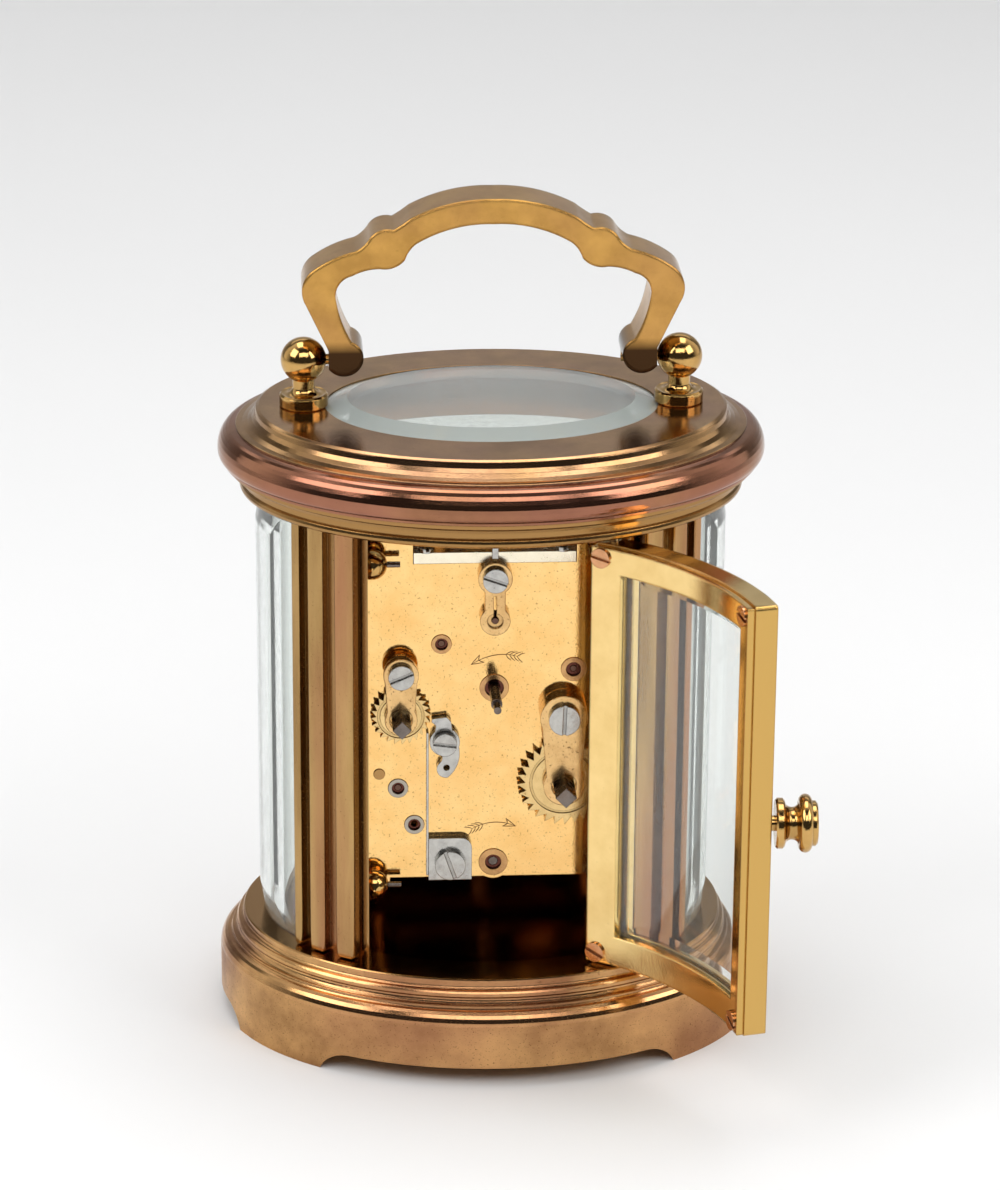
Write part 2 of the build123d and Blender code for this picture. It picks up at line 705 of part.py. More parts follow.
with movement_bars:
    add(case_screws.part, mode=Mode.SUBTRACT)

# Train wheels. Each tooth is a narrow wedge, so that meshed teeth clear each other all round.
tooth_thickness = 0.36
tip_height = 0.35
root_depth = 0.6


def spur(at, partner, teeth, partner_teeth, y_back, y_front, gap_first=False):
    """Add a toothed disc in mesh with a partner: a tooth faces it, or a gap if gap_first."""
    pitch_radius = hypot(partner[0] - at[0], partner[1] - at[1]) * teeth / (teeth + partner_teeth)
    module = 2 * pitch_radius / teeth
    heading = atan2(partner[1] - at[1], partner[0] - at[0])
    if gap_first:
        heading += pi / teeth
    half_tooth = tooth_thickness * pi / teeth
    tip = pitch_radius + tip_height * module
    root = pitch_radius - root_depth * module
    points = []
    for tooth in range(teeth):
        middle = heading + 2 * pi * tooth / teeth
        for turn, radius in ((-1.2, root), (-0.7, tip), (0.7, tip), (1.2, root)):
            angle = middle + turn * half_tooth
            points.append((at[0] + radius * cos(angle), at[1] + radius * sin(angle)))
    with BuildSketch(facing_dial(y_back), mode=Mode.PRIVATE) as disc:
        with BuildLine():
            Polyline(*points, close=True)
        make_face()
    extrude(disc.sketch, amount=y_back - y_front)


def crossings(at, y_back, y_front, rim, hub, arm):
    """Cut the windows between six arms of a wheel."""
    with BuildSketch(facing_dial(y_back), mode=Mode.PRIVATE) as windows:
        with Locations(at):
            Circle(rim)
            Circle(hub, mode=Mode.SUBTRACT)
            for turn in (0, 60, 120):
                Rectangle(2 * rim, arm, rotation=turn, mode=Mode.SUBTRACT)
    extrude(windows.sketch, amount=y_back - y_front, mode=Mode.SUBTRACT)


def pivoted_arbor(at):
    """Add a steel arbor with a pivot in each plate."""
    rod(*at, inner_face - plate_gap, front_back_face + plate_gap, arbor_radius)
    rod(*at, back_face - plate_gap, front_face + plate_gap, pivot_radius)


barrel_teeth = 63
intermediate_leaves = 21
intermediate_teeth = 48
centre_leaves = 12
centre_teeth = 48
fourth_leaves = 12
fourth_teeth = 40
contrate_leaves = 10
alarm_great_teeth = 48
alarm_leaves = 12
winding_radius = 1.6

with BuildPart() as barrel:
    rod(*barrel_at, 5.2, -4.5, 12.5)
    spur(barrel_at, intermediate_at, barrel_teeth, intermediate_leaves, 6.6, 5.2)
    bore(*barrel_at, 6.6, -4.5, winding_radius + running_clearance)

with BuildPart() as intermediate_wheel:
    pivoted_arbor(intermediate_at)
    spur(intermediate_at, centre_at, intermediate_teeth, centre_leaves, -6.0, -6.8)
    crossings(intermediate_at, -6.0, -6.8, 8.4, 2.6, 1.2)
    spur(intermediate_at, barrel_at, intermediate_leaves, barrel_teeth, 7.2, 4.6, True)

with BuildPart() as centre_arbor:
    rod(*centre_at, inner_face - plate_gap, front_back_face + plate_gap, arbor_radius)
    rod(*centre_at, back_face + 9.6, -17.9, 0.6)
    rod(*centre_at, back_face + 7.0, inner_face - plate_gap, arbor_radius)
    spur(centre_at, intermediate_at, centre_leaves, intermediate_teeth, -5.4, -7.4, True)

with BuildPart() as centre_wheel:
    spur(centre_at, fourth_at, centre_teeth, fourth_leaves, 8.4, 7.6)
    crossings(centre_at, 8.4, 7.6, 7.4, 2.4, 1.1)
    bore(*centre_at, 8.4, 7.6, arbor_radius)

with BuildPart() as fourth_wheel:
    pivoted_arbor(fourth_at)
    spur(fourth_at, centre_at, fourth_leaves, centre_teeth, 8.8, 7.2, True)
    spur(fourth_at, contrate_at, fourth_teeth, contrate_leaves, 6.4, 5.6)
    crossings(fourth_at, 6.4, 5.6, 6.2, 2.2, 1.0)

cock_face = back_face + 1.8
sink_depth = 0.5

with BuildPart() as contrate_wheel:
    rod(*contrate_at, back_face, front_back_face + plate_gap, arbor_radius)
    rod(*contrate_at, cock_face - plate_gap, front_face + plate_gap, pivot_radius)
    spur(contrate_at, fourth_at, contrate_leaves, fourth_teeth, 6.8, 5.2, True)
    rod(*contrate_at, 2.2, 1.5, 5.0)
    crown_teeth = 40
    with BuildSketch(facing_dial(3.4), mode=Mode.PRIVATE) as crown:
        with Locations(contrate_at):
            with PolarLocations(4.6, crown_teeth):
                Rectangle(0.8, 0.3)
    extrude(crown.sketch, amount=1.2)

with BuildPart() as alarm_barrel:
    rod(*alarm_barrel_at, 5.0, -5.0, 9.0)
    spur(alarm_barrel_at, alarm_wheel_at, alarm_great_teeth, alarm_leaves, -5.0, -6.0)
    bore(*alarm_barrel_at, 5.0, -6.0, winding_radius + running_clearance)

with BuildPart() as alarm_wheel:
    pivoted_arbor(alarm_wheel_at)
    spur(alarm_wheel_at, alarm_barrel_at, alarm_leaves, alarm_great_teeth, -4.6, -6.6, True)
    rod(*alarm_wheel_at, 1.0, 0, 3.8)

# Winding squares, ratchets and the bridges that hold them down.
winding_pivot = 1.2
time_square = 2.4
alarm_square = 2.1
ratchet_back = back_face + 1.5
ratchet_front = back_face + moving_gap
bridge_front = ratchet_back + moving_gap
bridge_back = bridge_front + 1.4
time_bridge_foot = (-11.0, 55.2)
alarm_bridge_foot = (14.9, 62.9)


def winding_arbor(at, square, square_end):
    """Winding arbor: through the barrel, both plates and the bridge, with a square end."""
    with BuildPart() as body:
        rod(*at, ratchet_front, front_back_face + plate_gap, winding_radius)
        rod(*at, front_back_face + plate_gap, front_face + plate_gap, winding_pivot)
        square_rod(*at, square_end, ratchet_front, square)
    return body.part


time_winding_arbor = winding_arbor(barrel_at, time_square, back_face + 8.0)
alarm_winding_arbor = winding_arbor(alarm_barrel_at, alarm_square, back_face + 7.4)


def ratchet(at, radius, teeth, depth, square, groove):
    """Ratchet wheel with saw teeth, a turned groove in its face and a square hole."""
    with BuildPart() as body:
        points = []
        for tooth in range(teeth):
            start = 2 * pi * tooth / teeth
            end = 2 * pi * (tooth + 0.85) / teeth
            for angle, reach in ((start, radius - depth), (end, radius)):
                points.append((at[0] + reach * cos(angle), at[1] + reach * sin(angle)))
        with BuildSketch(facing_dial(ratchet_back)):
            with BuildLine():
                Polyline(*points, close=True)
            make_face()
            with Locations(at):
                Rectangle(square, square, rotation=45, mode=Mode.SUBTRACT)
        extrude(amount=ratchet_back - ratchet_front)
        with BuildSketch(facing_dial(ratchet_back)):
            with Locations(at):
                Circle(groove + groove_width)
                Circle(groove, mode=Mode.SUBTRACT)
        extrude(amount=groove_depth, mode=Mode.SUBTRACT)
    return body.part


groove_width = 0.45
groove_depth = 0.2
time_ratchet = ratchet(barrel_at, 7.4, 28, 1.3, time_square, 5.0)
alarm_ratchet = ratchet(alarm_barrel_at, 4.8, 24, 0.9, alarm_square, 3.3)


def bridge(at, foot, hub_radius, foot_radius, hole, stand):
    """Bridge over a ratchet: a foot that stands on the back plate, a tapered arm and a bored hub."""
    reach = Vector(foot[0] - at[0], foot[1] - at[1])
    across = Vector(-reach.Y, reach.X).normalized()
    corners = []
    for end, half in ((foot, 0.95 * foot_radius), (at, 0.8 * hub_radius)):
        aside = across * half
        corners.append([(end[0] + side * aside.X, end[1] + side * aside.Y) for side in (-1, 1)])
    with BuildPart() as body:
        with BuildSketch(facing_dial(bridge_back)):
            with Locations(at):
                Circle(hub_radius)
            with Locations(foot):
                Circle(foot_radius)
            with BuildLine():
                Polyline(corners[0][0], corners[0][1], corners[1][1], corners[1][0], close=True)
            make_face()
        extrude(amount=bridge_back - bridge_front)
        rod(*foot, bridge_front, back_face, stand)
        bore(*at, bridge_back, bridge_front, hole)
    return body.part


time_bridge = bridge(barrel_at, time_bridge_foot, 3.3, 3.8, 2.0, 3.8)
alarm_bridge = bridge(alarm_barrel_at, alarm_bridge_foot, 2.6, 2.8, 1.8, 2.3)

with BuildPart() as contrate_cock:
    cock_top = (0, 78.5)
    with BuildSketch(facing_dial(cock_face)):
        with Locations(cock_top):
            Circle(2.7)
        with Locations(contrate_at):
            Circle(2.4)
        with Locations((0, (cock_top[1] + contrate_at[1]) / 2)):
            Rectangle(3.2, cock_top[1] - contrate_at[1])
        with Locations((0, contrate_at[1] + 2.1)):
            Rectangle(0.45, 4.2, mode=Mode.SUBTRACT)
    extrude(amount=cock_face - back_face)
    bore(*contrate_at, cock_face, back_face, pivot_hole)
    bore(*contrate_at, cock_face, cock_face - sink_depth, 1.25)
    bore(*contrate_at, back_face + 0.3, back_face, arbor_radius + 0.3)

# Clicks: sprung pawls that hold the ratchets, each on its own shouldered screw.
click_back = ratchet_back - 0.1
alarm_click_at = (7.9, 50.7)
time_click_at = (-18.9, 50.2)
click_bore = 1.0 + running_clearance

with BuildPart() as alarm_click:
    with BuildSketch(facing_dial(click_back)):
        with Locations(alarm_click_at):
            Circle(2.4)
        with BuildLine():
            hook = ((6.6, 51.5), (6.9, 54.2), (7.6, 55.0), (9.9, 54.7), (10.0, 54.2), (9.3, 53.6), (9.6, 51.2))
            Polyline(hook, close=True)
        make_face()
        with BuildLine():
            ThreePointArc((5.7, 50.0), (5.8, 47.0), (7.4, 44.6))
            ThreePointArc((7.4, 44.6), (9.1, 45.6), (8.6, 47.2))
            ThreePointArc((8.6, 47.2), (8.3, 48.3), (9.4, 49.4))
            Line((9.4, 49.4), (5.7, 50.0))
        make_face()
    extrude(amount=click_back - ratchet_front)
    bore(*alarm_click_at, click_back, ratchet_front, click_bore)
    bore(7.6, 46.3, click_back, ratchet_front, 0.5)

with BuildPart() as time_click:
    with BuildSketch(facing_dial(click_back)):
        with Locations(time_click_at):
            Circle(2.2)
        with BuildLine():
            Polyline((-20.6, 49.0), (-19.5, 45.9), (-18.75, 45.6), (-18.4, 46.3), (-17.6, 48.6), close=True)
        make_face()
    extrude(amount=click_back - ratchet_front)
    bore(*time_click_at, click_back, ratchet_front, click_bore)

# Block and long blade spring of the alarm click.
block_side = 10.45
block_top = 33.9
block_back = back_face + 1.3
blade_thickness = 0.36

with BuildPart() as spring_block:
    with BuildSketch(facing_dial(block_back)):
        with BuildLine():
            Polyline((5.2, block_top), (block_side, block_top), (block_side, plate_foot), (3.5, plate_foot))
            Line((3.5, plate_foot), (3.5, block_top - 1.7))
            ThreePointArc((3.5, block_top - 1.7), (4.0, block_top - 0.5), (5.2, block_top))
        make_face()
    extrude(amount=block_back - back_face)

with BuildPart() as click_spring:
    with BuildSketch(facing_dial(block_back - 0.2)):
        with Locations((block_side + blade_thickness / 2, 39.8)):
            Rectangle(blade_thickness, 24.8)
    extrude(amount=block_back - back_face - 0.3)

# Screws of the movement.
with BuildPart() as movement_screws:
    screw(back_seat(cock_top[0], cock_face, cock_top[1]), 2.0, 1.0, 0.9, 3.0, -20)
    screw(back_seat(time_bridge_foot[0], bridge_back, time_bridge_foot[1]), 2.5, 1.1, 1.1, 4.4, 88)
    screw(back_seat(alarm_bridge_foot[0], bridge_back, alarm_bridge_foot[1]), 2.05, 1.0, 0.9, 4.4, 23)
    click_seat = click_back + moving_gap
    for at, turn in ((alarm_click_at, -8), (time_click_at, 110)):
        screw(back_seat(at[0], click_seat, at[1]), 1.9, 1.0, 1.0, click_seat - inner_face - 0.4, turn)
    screw(back_seat(7.0, block_back, 29.5), 2.45, 1.1, 1.0, 3.4, -71)

# Platform of the escapement, lying across the plates.
platform_thickness = 1.8
platform_top = platform_under + platform_thickness
balance_y = 6.5
balance_stand = 3.6
balance_head_room = 2.0
cock_thickness = 1.5
balance_height = platform_top + balance_stand
balance_radius = 5.2
balance_foot_x = 8.5
cock_under = balance_height + balance_head_room
cock_top_height = cock_under + cock_thickness
cock_cap_radius = 1.3
cock_cap_height = 1.0

with BuildPart() as platform_plate:
    with BuildSketch(Plane.XY.offset(platform_under)):
        with Locations((0, (back_face + front_face) / 2)):
            Rectangle(2 * notch_half - 0.2, back_face - front_face)
    extrude(amount=platform_thickness)
    post(0, balance_y, platform_under, platform_top, pivot_hole, Mode.SUBTRACT)

with BuildPart() as balance_cock:
    with BuildSketch(Plane.XY.offset(cock_under)):
        with Locations((0, balance_y)):
            Circle(2.4)
        with Locations((balance_foot_x, balance_y)):
            Circle(2.2)
        with Locations((balance_foot_x / 2, balance_y)):
            Rectangle(balance_foot_x, 3.0)
    extrude(amount=cock_top_height - cock_under)
    post(balance_foot_x, balance_y, platform_top, cock_under, 2.2)
    post(0, balance_y, cock_top_height, cock_top_height + cock_cap_height, cock_cap_radius)
    post(0, balance_y, cock_under, cock_under + 0.9, pivot_hole, Mode.SUBTRACT)

with BuildPart() as balance_wheel:
    with BuildSketch(Plane.XY.offset(balance_height - 0.4)):
        with Locations((0, balance_y)):
            Circle(balance_radius)
            Circle(balance_radius - 1.0, mode=Mode.SUBTRACT)
            Rectangle(2 * balance_radius - 1.0, 0.9)
            Circle(1.1)
    extrude(amount=0.8)
    post(0, balance_y, platform_top + plate_gap, cock_under - plate_gap, 0.6)
    post(0, balance_y, platform_top - 1.2, cock_under + 0.7, pivot_radius)

regulator_low = cock_top_height + moving_gap
regulator_tail = 13.0

with BuildPart() as regulator:
    with BuildSketch(Plane.XY.offset(regulator_low)):
        with Locations((0, balance_y)):
            Circle(2.2)
        with Locations((0, (balance_y + regulator_tail) / 2)):
            Rectangle(0.95, regulator_tail - balance_y)
        with Locations((0, balance_y)):
            Circle(cock_cap_radius + running_clearance, mode=Mode.SUBTRACT)
    extrude(amount=0.5)
    with BuildSketch(facing_dial(regulator_tail)):
        with Locations((0, (regulator_low + platform_under + 1.0) / 2)):
            Rectangle(0.95, regulator_low - platform_under - 1.0)
    extrude(amount=0.45)

with movement_screws:
    cock_seat = Plane(origin=(balance_foot_x, balance_y, cock_top_height))
    screw(cock_seat, 1.4, 0.8, 0.6, cock_top_height - platform_under - 0.9, 15)
    for x in (-10.8, 10.8):
        for y in (front_face + 0.8, back_face - 0.8):
            screw(Plane(origin=(x, y, platform_top)), 1.2, 0.7, 0.45, 4.6, 25 * y)

for held in (platform_plate, balance_cock, contrate_cock, spring_block):
    with held:
        add(movement_screws.part, mode=Mode.SUBTRACT)

with BuildPart() as held_time_bridge:
    add(time_bridge)
    add(movement_screws.part, mode=Mode.SUBTRACT)

with BuildPart() as held_alarm_bridge:
    add(alarm_bridge)
    add(movement_screws.part, mode=Mode.SUBTRACT)

# Dial side: motion work, dial plate, enamel dials and hands.
cannon_leaves = 12
minute_teeth = 36
minute_leaves = 10
hour_teeth = 40
cannon_radius = 1.1
hour_pipe_radius = 1.7
dial_back = -14.2
mask_front = dial_back - 1.0
dial_front = mask_front - 0.6
dial_radius = 16.5
alarm_dial_radius = 6.8

with BuildPart() as cannon_pinion:
    spur(centre_at, minute_stud_at, cannon_leaves, minute_teeth, -10.2, -11.4)
    rod(*centre_at, -11.4, -18.4, cannon_radius)
    bore(*centre_at, -10.2, -18.4, 0.6)

with BuildPart() as minute_wheel:
    spur(minute_stud_at, centre_at, minute_teeth, cannon_leaves, -10.4, -11.2, True)
    spur(minute_stud_at, centre_at, minute_leaves, hour_teeth, -11.2, -13.0)
    bore(*minute_stud_at, -10.4, -13.0, 0.8 + running_clearance)

with BuildPart() as hour_wheel:
    spur(centre_at, minute_stud_at, hour_teeth, minute_leaves, -11.9, -12.7, True)
    rod(*centre_at, -11.9, -17.1, hour_pipe_radius)
    bore(*centre_at, -11.9, -17.1, cannon_radius + running_clearance)

with BuildPart() as dial_mask:
    with BuildSketch(facing_dial(dial_back)):
        with Locations((0, (floor_top + rim_bottom) / 2)):
            Rectangle(2 * plate_half - 2.0, rim_bottom - floor_top - 2.0)
        with Locations(centre_at):
            Circle(hour_pipe_radius + 0.4, mode=Mode.SUBTRACT)
        with Locations(alarm_set_at):
            Circle(1.2, mode=Mode.SUBTRACT)
    extrude(amount=1.0)
    for x in (-17.5, 17.5):
        for z in (36.0, 76.0):
            rod(x, z, front_face, dial_back, 1.1)

with BuildPart() as dials:
    with BuildSketch(facing_dial(mask_front)):
        with Locations(centre_at):
            Circle(dial_radius)
            Circle(hour_pipe_radius + 0.4, mode=Mode.SUBTRACT)
        with Locations(alarm_set_at):
            Circle(alarm_dial_radius)
            Circle(1.2, mode=Mode.SUBTRACT)
    extrude(amount=mask_front - dial_front)


def hand(at, y_back, thickness, length, width, hub_radius, bore_radius, turn):
    """Pointed hand on its hub, turned clockwise from upright as seen from the dial."""
    with BuildPart() as body:
        with BuildSketch(facing_dial(y_back)):
            with Locations(Location((at[0], at[1], 0), (0, 0, -turn))):
                Circle(hub_radius)
                foot, belly = width / 3, 0.62 * length
                outline = ((-foot, 0), (-width / 2, belly), (0, length), (width / 2, belly), (foot, 0))
                Polygon(*outline, align=None)
                Circle(bore_radius, mode=Mode.SUBTRACT)
        extrude(amount=thickness)
    return body.part


hour_hand = hand(centre_at, -16.3, 0.5, 9.4, 1.9, 2.6, hour_pipe_radius, 305)
minute_hand = hand(centre_at, -17.5, 0.5, 14.2, 1.6, 2.0, cannon_radius, 60)
alarm_hand = hand(alarm_set_at, -16.3, 0.5, 5.2, 1.2, 1.5, 0.7, 200)

alarm_pivot = 0.7

with BuildPart() as alarm_arbor:
    rod(*alarm_set_at, back_face - 0.3, -16.9, alarm_pivot)
    rod(*alarm_set_at, inner_face - plate_gap, front_back_face + plate_gap, 1.2)

# The two plates with all their holes. Each pair of values is a place and a hole radius. A
# bush has its place, its outer radius, the radius of what turns in it and that of its sink.
screw_holes = movement_screws.part
through_both = (
    (intermediate_at, pivot_hole),
    (fourth_at, pivot_hole),
    (alarm_wheel_at, pivot_hole),
    (hammer_at, pivot_hole),
    (alarm_set_at, alarm_pivot + running_clearance),
)
bushes = (
    (centre_at, 2.3, arbor_radius, 1.5),
    (fourth_at, 1.6, pivot_radius, 1.0),
    (intermediate_at, 2.0, pivot_radius, 1.2),
    (alarm_wheel_at, 1.6, pivot_radius, 1.0),
    (hammer_at, 1.6, pivot_radius, 1.0),
    (alarm_set_at, 2.3, alarm_pivot, 1.3),
)
rivet_at = (18.3, 44.8)
rivet_radius = 0.9
bush_stand = 0.2

with BuildPart() as back_plate:
    add(plate(back_face))
    for at, radius, turning, sink in bushes:
        bore(*at, back_face, inner_face, radius)
    bore(*contrate_at, back_face, inner_face, arbor_radius + moving_gap)
    bore(*rivet_at, back_face, inner_face, rivet_radius)
    for at in (barrel_at, alarm_barrel_at):
        bore(*at, back_face, inner_face, winding_radius + running_clearance)
    add(screw_holes, mode=Mode.SUBTRACT)
    for x, z in pillar_places:
        bore(x, z, back_face, inner_face, pillar_core_radius)

with BuildPart() as plate_bushes:
    for at, radius, turning, sink in bushes:
        rod(*at, back_face + bush_stand, inner_face, radius)
        bore(*at, back_face + bush_stand, inner_face, turning + running_clearance)
        bore(*at, back_face + bush_stand, back_face + bush_stand - sink_depth, sink)
    rod(*rivet_at, back_face + bush_stand, inner_face, rivet_radius)

with BuildPart() as front_plate:
    add(plate(front_back_face))
    for at, radius in through_both:
        bore(*at, front_back_face, front_face, radius)
    bore(*centre_at, front_back_face, front_face, 0.6 + running_clearance)
    bore(*contrate_at, front_back_face, front_face, pivot_hole)
    for at in (barrel_at, alarm_barrel_at):
        bore(*at, front_back_face, front_face, winding_pivot + running_clearance)
    rod(*minute_stud_at, front_face, front_face - 3.6, 0.8)
    add(screw_holes, mode=Mode.SUBTRACT)
    for x, z in pillar_places:
        bore(x, z, front_back_face, front_face, pillar_core_radius)


def swung(part):
    """A door piece turned from closed to the open place that it rests in."""
    return part.rotate(hinge_line, door_open_angle)


save(base_plinth.part, "base_plinth")
save(cornice_ring.part, "cornice_ring")
save(top_plate.part, "top_plate")
save(top_glass.part, "top_glass")
save(top_glass_retainer.part, "top_glass_retainer")
for pillar_name, flips in (
    ("pillar_back_left", ()),
    ("pillar_back_right", (Plane.YZ,)),
    ("pillar_front_left", (Plane.XZ,)),
    ("pillar_front_right", (Plane.YZ, Plane.XZ)),
):
    pillar = pillar_corner.part
    for flip in flips:
        pillar = pillar.mirror(flip)
    save(pillar, pillar_name)
save(side_glass, "side_glass_left")
save(side_glass.mirror(Plane.YZ), "side_glass_right")
save(front_glass.mirror(Plane.XZ), "front_glass")
save(finials.part, "finials")
save(handle.part, "handle")
for piece, name in (
    (door_frame.part, "door_frame"),
    (door_glass, "door_glass"),
    (door_retainer.part, "door_retainer"),
    (door_screws.part, "door_screws"),
    (door_knob.part, "door_knob"),
    (door_pins.part, "door_pins"),
):
    save(swung(piece), name)
save(plate_pillars.part, "plate_pillars")
save(taper_pins.part, "taper_pins")
save(movement_bars.part, "movement_bars")
save(case_screws.part, "case_screws")
save(movement_screws.part, "movement_screws")
save(barrel.part, "barrel")
save(intermediate_wheel.part, "intermediate_wheel")
save(centre_arbor.part, "centre_arbor")
save(centre_wheel.part, "centre_wheel")
save(fourth_wheel.part, "fourth_wheel")
save(contrate_wheel.part, "contrate_wheel")
save(alarm_barrel.part, "alarm_barrel")
save(alarm_wheel.part, "alarm_wheel")
save(contrate_cock.part, "contrate_cock")
save(alarm_click.part, "alarm_click")
save(time_click.part, "time_click")
save(spring_block.part, "spring_block")
save(click_spring.part, "click_spring")
save(platform_plate.part, "platform_plate")
save(balance_cock.part, "balance_cock")
save(balance_wheel.part, "balance_wheel")
save(regulator.part, "regulator")
save(cannon_pinion.part, "cannon_pinion")
save(minute_wheel.part, "minute_wheel")
save(hour_wheel.part, "hour_wheel")
save(dial_mask.part, "dial_mask")
save(dials.part, "dials")
save(alarm_arbor.part, "alarm_arbor")
save(back_plate.part, "back_plate")
save(plate_bushes.part, "plate_bushes")
save(front_plate.part, "front_plate")
save(time_winding_arbor, "time_winding_arbor")
save(alarm_winding_arbor, "alarm_winding_arbor")
save(time_ratchet, "time_ratchet")
save(alarm_ratchet, "alarm_ratchet")
save(held_time_bridge.part, "time_bridge")
save(held_alarm_bridge.part, "alarm_bridge")
save(hour_hand, "hour_hand")
save(minute_hand, "minute_hand")
save(alarm_hand, "alarm_hand")
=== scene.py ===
"""Oval brass carriage clock with its curved back door open: finishes, dials, engraving, studio."""
import json
import logging
import math
from dataclasses import dataclass, replace
from enum import Enum

import bpy
from mathutils import Matrix, Vector

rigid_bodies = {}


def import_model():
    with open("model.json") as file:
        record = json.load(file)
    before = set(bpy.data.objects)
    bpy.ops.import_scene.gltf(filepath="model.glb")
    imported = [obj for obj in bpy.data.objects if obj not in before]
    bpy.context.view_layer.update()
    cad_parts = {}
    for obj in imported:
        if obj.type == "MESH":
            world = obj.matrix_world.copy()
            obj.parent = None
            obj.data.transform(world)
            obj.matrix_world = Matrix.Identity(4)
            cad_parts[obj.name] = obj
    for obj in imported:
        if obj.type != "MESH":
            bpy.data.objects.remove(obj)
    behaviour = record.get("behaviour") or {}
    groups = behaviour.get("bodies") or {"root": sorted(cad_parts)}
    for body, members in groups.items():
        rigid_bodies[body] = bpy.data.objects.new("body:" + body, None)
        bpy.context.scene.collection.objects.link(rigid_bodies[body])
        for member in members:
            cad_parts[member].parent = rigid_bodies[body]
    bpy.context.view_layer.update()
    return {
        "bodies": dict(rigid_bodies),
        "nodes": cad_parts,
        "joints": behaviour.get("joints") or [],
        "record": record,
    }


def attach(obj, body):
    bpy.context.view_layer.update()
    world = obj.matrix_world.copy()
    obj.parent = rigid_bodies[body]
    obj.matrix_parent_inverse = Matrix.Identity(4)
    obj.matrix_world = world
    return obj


log = logging.getLogger("carriage_clock")

Colour = tuple[float, float, float]
Point = tuple[float, float, float]
Pair = tuple[float, float]
Faces = list[tuple[int, ...]]
Socket = bpy.types.NodeSocket
MM = 0.001


class Coat(Enum):
    """Names of two of the record's material slots; no piece here is put in them."""

    GILT = "gilt_brass"
    ENAMEL = "enamel"


class MixSocket(Enum):
    """Places of the colour sockets on a Mix node."""

    FACTOR = 0
    FIRST = 6
    SECOND = 7
    RESULT = 2


def rgba(colour: Colour) -> tuple[float, float, float, float]:
    """Opaque four-part colour."""
    return (*colour, 1.0)


class Weave:
    """Thin helper that adds and joins shader nodes in one node tree."""

    def __init__(self, tree: bpy.types.NodeTree) -> None:
        """Keep the tree."""
        self.tree = tree

    def add(
        self, kind: str, settings: dict[str, object] | None = None, **sockets: object
    ) -> bpy.types.Node:
        """Add one node.

        Args:
            kind: the node's class name.
            settings: node properties to set.
            **sockets: input values or output sockets to link, by socket name with _ for spaces.

        Returns:
            The new node.
        """
        node = self.tree.nodes.new(kind)
        for key, value in (settings or {}).items():
            setattr(node, key, value)
        for key, value in sockets.items():
            self.feed(node.inputs[key.replace("_", " ")], value)
        return node

    def feed(self, socket: Socket, value: object) -> None:
        """Link an output socket into an input, or set the input's plain value."""
        if isinstance(value, Socket):
            self.tree.links.new(value, socket)
        else:
            socket.default_value = value

    def place(self) -> Socket:
        """The point on the piece, in metres."""
        return self.add("ShaderNodeTexCoord").outputs["Object"]

    def part(self, vector: Socket, axis: str) -> Socket:
        """One of a vector's X, Y and Z."""
        return self.add("ShaderNodeSeparateXYZ", None, Vector=vector).outputs[axis]

    def noise(
        self, place: Socket, scale: object, detail: float, roughness: float = 0.5
    ) -> Socket:
        """Soft noise over a piece.

        Args:
            place: where on the piece, as a vector socket.
            scale: how fine the noise is, per metre.
            detail: how many finer layers lie over the first.
            roughness: how strong the finer layers are.

        Returns:
            The value socket.
        """
        node = self.add(
            "ShaderNodeTexNoise", None,
            Vector=place, Scale=scale, Detail=detail, Roughness=roughness,
        )
        return node.outputs[0]

    def ramp(
        self, value: object, low: float, high: float, to_low: object = 0.0, to_high: object = 1.0
    ) -> Socket:
        """Map a value from one range to another, clamped.

        Args:
            value: what is mapped.
            low: value that gives to_low.
            high: value that gives to_high.
            to_low: result at low.
            to_high: result at high.

        Returns:
            The result socket.
        """
        node = self.add(
            "ShaderNodeMapRange", None,
            Value=value, From_Min=low, From_Max=high, To_Min=to_low, To_Max=to_high,
        )
        return node.outputs[0]

    def blend(self, factor: object, first: object, second: object) -> Socket:
        """Mix two colours.

        Args:
            factor: share of the second colour.
            first: colour or colour socket.
            second: colour or colour socket.

        Returns:
            The colour socket.
        """
        node = self.add("ShaderNodeMix", {"data_type": "RGBA"})
        self.feed(node.inputs[MixSocket.FACTOR.value], factor)
        for place, colour in ((MixSocket.FIRST, first), (MixSocket.SECOND, second)):
            value = colour if isinstance(colour, Socket) else rgba(colour)
            self.feed(node.inputs[place.value], value)
        return node.outputs[MixSocket.RESULT.value]

    def math(self, operation: str, first: object, second: object = 0.0) -> Socket:
        """Arithmetic on two values.

        Args:
            operation: the Math node's operation.
            first: value or value socket.
            second: value or value socket.

        Returns:
            The value socket.
        """
        node = self.add("ShaderNodeMath", {"operation": operation})
        self.feed(node.inputs[0], first)
        self.feed(node.inputs[1], second)
        return node.outputs[0]


def start_material(name: str) -> tuple[bpy.types.Material, Weave, bpy.types.Node]:
    """Make an empty material.

    Args:
        name: the material's name.

    Returns:
        The material, a helper for its nodes, and its shader.
    """
    material = bpy.data.materials.new(name)
    material.use_nodes = True
    return material, Weave(material.node_tree), material.node_tree.nodes["Principled BSDF"]


